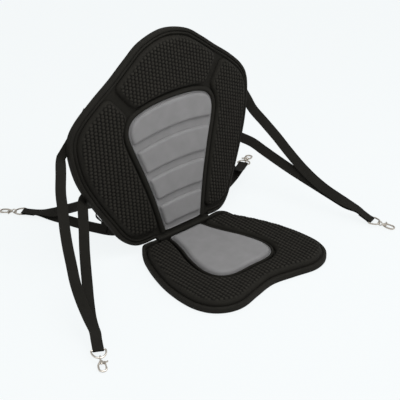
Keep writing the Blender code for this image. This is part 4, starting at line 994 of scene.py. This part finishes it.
def branch_route(bridle, branch):
    """Centre points and face normals of one branch, from its sewn start to its end at the ring.

    The face follows the sheet where it is sewn, eases to the way that the free webbing faces over
    the bridle's turn length, and eases flat onto the stack over the last STACK_TURN.
    """
    (u, v), direction, length = ANCHORS[bridle, branch]
    steps = np.linspace(0.0, length, int(length / ROUTE_STEP) + 1)
    run = unit(direction)
    us, vs = u + run[0] * steps, v + run[1] * steps
    flat_normals = sheet_normal(us, vs)
    flat = on_back(us, vs, 0.0) - flat_normals * (SHELL_THICKNESS + SEWN_GAP + WEBBING_THICKNESS / 2)
    origin, ahead, across, up = ring_axes(bridle)
    layer = WEBBING_THICKNESS + LAYER_GAP
    on_top = 1.0 if branch == "upper" else 0.0
    start = origin + up * layer * on_top
    lift = up * STACK_FLOAT * on_top
    stack = [start - ahead * STACK_LENGTH + lift, start - ahead * STACK_LENGTH * 0.6 + lift * 0.3]
    lead = flat[-1] - (flat[-1] - flat[-2]) / np.linalg.norm(flat[-1] - flat[-2]) * LEAD_IN
    free_run = in_frame(FREE_RUNS[bridle, branch])
    hanging = stretched(np.vstack([lead, flat[-1], free_run, stack]), ROUTE_STEP)
    hanging = hanging[np.linalg.norm(hanging - lead, axis=1) > LEAD_CUT]
    walked = walked_along(hanging)
    leaving = smooth_step((walked + TURN_LEAD) / BRIDLES[bridle]["turn"])[:, None]
    landing = smooth_step(1.0 - (walked[-1] - walked) / STACK_TURN)[:, None]
    facing = flat_normals[-1] * (1 - leaving) + unit(BRIDLES[bridle]["facing"]) * leaving
    centre = [flat, hanging]
    normals = [flat_normals, facing * (1 - landing) + up * landing]
    if branch == "upper":
        radius = D_WIRE_RADIUS + LAYER_GAP + WEBBING_THICKNESS / 2 + BAR_GAP
        turns = np.radians(np.linspace(90.0, -90.0, WRAP_POINTS))[:, None]
        outward = ahead * np.cos(turns) + up * np.sin(turns)
        rise = origin - ahead * SANDWICH_SHORT * 0.85
        tail = [origin - ahead * TAIL_LENGTH * share - up * layer for share in (0.65, 1.0)]
        centre += [[rise + up * layer], origin + outward * radius, [rise - up * layer, *tail]]
        normals += [[up], outward, [-up] * 3]
    else:
        centre.append([origin - ahead * SANDWICH_SHORT])
        normals.append([up])
    return np.vstack(centre), np.vstack(normals)


# %% Thin section with rounded edges
HALF_SECTION = [(-1.0, -0.35), (-0.97, -1.0), (-0.5, -1.0), (0.0, -1.0), (0.5, -1.0), (0.97, -1.0),
                (1.0, -0.35)]
SECTION = HALF_SECTION + [(-a, -b) for a, b in HALF_SECTION]


def ribbon(name, centre, normals, material):
    """Webbing along centre points: SECTION times half the width and thickness, turned to the normals."""
    tangent = np.gradient(centre, axis=0)
    tangent /= np.linalg.norm(tangent, axis=1)[:, None]
    normals = normals - (normals * tangent).sum(1)[:, None] * tangent
    normals /= np.linalg.norm(normals, axis=1)[:, None]
    across = np.cross(tangent, normals)
    half_width, half_thick = WEBBING_WIDTH / 2, WEBBING_THICKNESS / 2
    rings = [centre + across * a * half_width + normals * b * half_thick for a, b in SECTION]
    return loft(name, np.stack(rings, axis=1)[:, ::-1], False, material, 50.0)


HARDWARE = ("d_ring", "swivel_eye", "hook", "gate", "gate_pin")

for bridle, branch in FREE_RUNS:
    centre, normals = branch_route(bridle, branch)
    strap = ribbon(f"{bridle}_{branch}_webbing", centre, normals, webbing_black)
    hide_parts(f"{bridle}_{branch}_strap")
    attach(strap, "backrest")

# %% [markdown]
# ## Loose end
# Behind the backrest on the left a short end of webbing stands on its edge. Its root lies flat on the
# strap below, sewn across it, and from there it turns onto its edge. It is short and stiff enough to
# stand, so it needs no simulation: the same ribbon follows a few measured points.

# %% Loose end of webbing
REAR_TAIL_LEFT = [
    (-0.1425, 0.1372, 0.0395), (-0.1490, 0.1395, 0.0480), (-0.1560, 0.1410, 0.0565),
    (-0.1605, 0.1420, 0.0655), (-0.1600, 0.1420, 0.0750)]
TAIL_ROOT = (-0.1453, 0.1320, 0.0228)
TAIL_ROOT_LENGTH = 0.014
TAIL_GAP = 0.0012
TAIL_TURN = 0.025
TAIL_EDGE_WAY = (0.60, 0.64, -0.40)
TAIL_STEP = 0.003

lower_route, lower_facing = branch_route("rear_left", "lower")
nearest = int(np.linalg.norm(lower_route - in_frame(TAIL_ROOT), axis=1).argmin())
ahead = unit(lower_route[nearest + 2] - lower_route[nearest - 2])
off = unit(lower_facing[nearest] - lower_facing[nearest] @ ahead * ahead)
climb = np.cross(ahead, off)
root = lower_route[nearest] + ahead * ((in_frame(TAIL_ROOT) - lower_route[nearest]) @ ahead)
root = root + off * (WEBBING_THICKNESS + TAIL_GAP)
sewn = [root - climb * TAIL_ROOT_LENGTH / 2, root, root + climb * TAIL_ROOT_LENGTH / 2]
tail_centre = stretched(np.vstack([sewn, in_frame(REAR_TAIL_LEFT)]), TAIL_STEP)
walked = walked_along(tail_centre)
turning = smooth_step((walked - TAIL_ROOT_LENGTH) / TAIL_TURN)[:, None]
edge_way = ahead * (1 - turning) + unit(TAIL_EDGE_WAY) * turning
tail_normals = np.cross(np.gradient(tail_centre, axis=0), edge_way)
tail = ribbon("rear_left_loose_end", tail_centre, tail_normals, webbing_black)
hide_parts("rear_left_tail")
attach(tail, "backrest")
print("loose end length", round(float(walked[-1]), 3))

# %% [markdown]
# ## Which piece stands for which solid
# Each soft piece takes the place of one solid and moves with that solid's body. The metal keeps its
# solids and only gets its finish.

# %% Assign the soft pieces
for pad in back_pads:
    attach(pad, "backrest")
    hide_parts(pad.name.replace("backrest_", "back_"))
for piece, node in ((back_shell, "back_shell"), (back_binding, "back_binding"), (back_rim, "back_panel_rim"),
                    (back_panel, "back_panel"), (hinge_roll, "hinge_roll")):
    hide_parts(node)
    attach(piece, "backrest")
for piece, node in ((seat_base, "seat_base"), (seat_binding, "seat_binding"), (seat_welt, "seat_panel_welt"),
                    (seat_pad, "seat_pad"), (seat_panel, "seat_panel"), (hinge_cuff, "hinge_cuff")):
    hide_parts(node)
    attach(piece, "cushion")
print("padded pieces:", len(back_pads) + 3)

# %% Plate the metal
plated = [node for name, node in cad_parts.items() if name.endswith(HARDWARE)]
for node in plated:
    node.data.materials.clear()
    node.data.materials.append(nickel)
print("plated pieces:", len(plated))

# %% [markdown]
# ## Studio
# The seat stands on a pale floor under broad, soft lights. More light would turn the floor white, but
# would wash the black fabric out as well. So the camera sees the floor as a flat pale colour with a
# small share of its real shading, which keeps the shadow, and the lights stay at a plain level.

# %% Floor
BACKDROP = (0.9400, 0.9740, 0.9830)
SHADOW_SHARE = 0.10
FLOOR_SIZE = 12.0
FLOOR_DROP = 0.0005

floor_material = plain_material("floor", (0.85, 0.85, 0.85), 0.9)
nodes, links = floor_material.node_tree.nodes, floor_material.node_tree.links
paper = nodes["Principled BSDF"]
paper.inputs["Specular IOR Level"].default_value = 0.0
glow = nodes.new("ShaderNodeEmission")
glow.inputs["Color"].default_value = (*BACKDROP, 1.0)
seen = nodes.new("ShaderNodeMixShader")
seen.inputs["Fac"].default_value = SHADOW_SHARE
rays = nodes.new("ShaderNodeLightPath")
chosen = nodes.new("ShaderNodeMixShader")
links.new(glow.outputs["Emission"], seen.inputs[1])
links.new(paper.outputs["BSDF"], seen.inputs[2])
links.new(rays.outputs["Is Camera Ray"], chosen.inputs["Fac"])
links.new(paper.outputs["BSDF"], chosen.inputs[1])
links.new(seen.outputs["Shader"], chosen.inputs[2])
links.new(chosen.outputs["Shader"], nodes["Material Output"].inputs["Surface"])
bpy.ops.mesh.primitive_plane_add(size=FLOOR_SIZE, location=(0.0, 0.0, -FLOOR_DROP))
floor = bpy.context.object
floor.name = "floor"
floor.data.materials.append(floor_material)
print("floor size", FLOOR_SIZE)

# %% Lights
WORLD_STRENGTH = 0.54
LIGHTS = {  # place, what it points at, size and power
    "key": ((-0.9, -0.9, 2.7), (0.0, 0.1, 0.1), 2.2, 21.0),
    "top": ((-0.05, -0.35, 1.5), (0.0, 0.0, 0.1), 0.9, 6.5),
    "fill": ((1.8, -1.6, 1.9), (0.0, 0.1, 0.2), 2.2, 17.0),
}


def soft_light(name, place, target, size, power):
    """A square area light aimed at a point."""
    light = bpy.data.lights.new(name, "AREA")
    light.size = size
    light.energy = power
    lamp = bpy.data.objects.new(name, light)
    aim = Vector(target) - Vector(place)
    lamp.matrix_world = Matrix.Translation(Vector(place)) @ aim.to_track_quat("-Z", "Y").to_matrix().to_4x4()
    bpy.context.collection.objects.link(lamp)


world = bpy.data.worlds.new("studio")
bpy.context.scene.world = world
world.use_nodes = True
world.node_tree.nodes["Background"].inputs["Color"].default_value = (1.0, 1.0, 1.0, 1.0)
world.node_tree.nodes["Background"].inputs["Strength"].default_value = WORLD_STRENGTH
for name, (place, target, size, power) in LIGHTS.items():
    soft_light(name, place, target, size, power)
bpy.context.scene.view_settings.view_transform = "Standard"
print("lights:", list(LIGHTS))
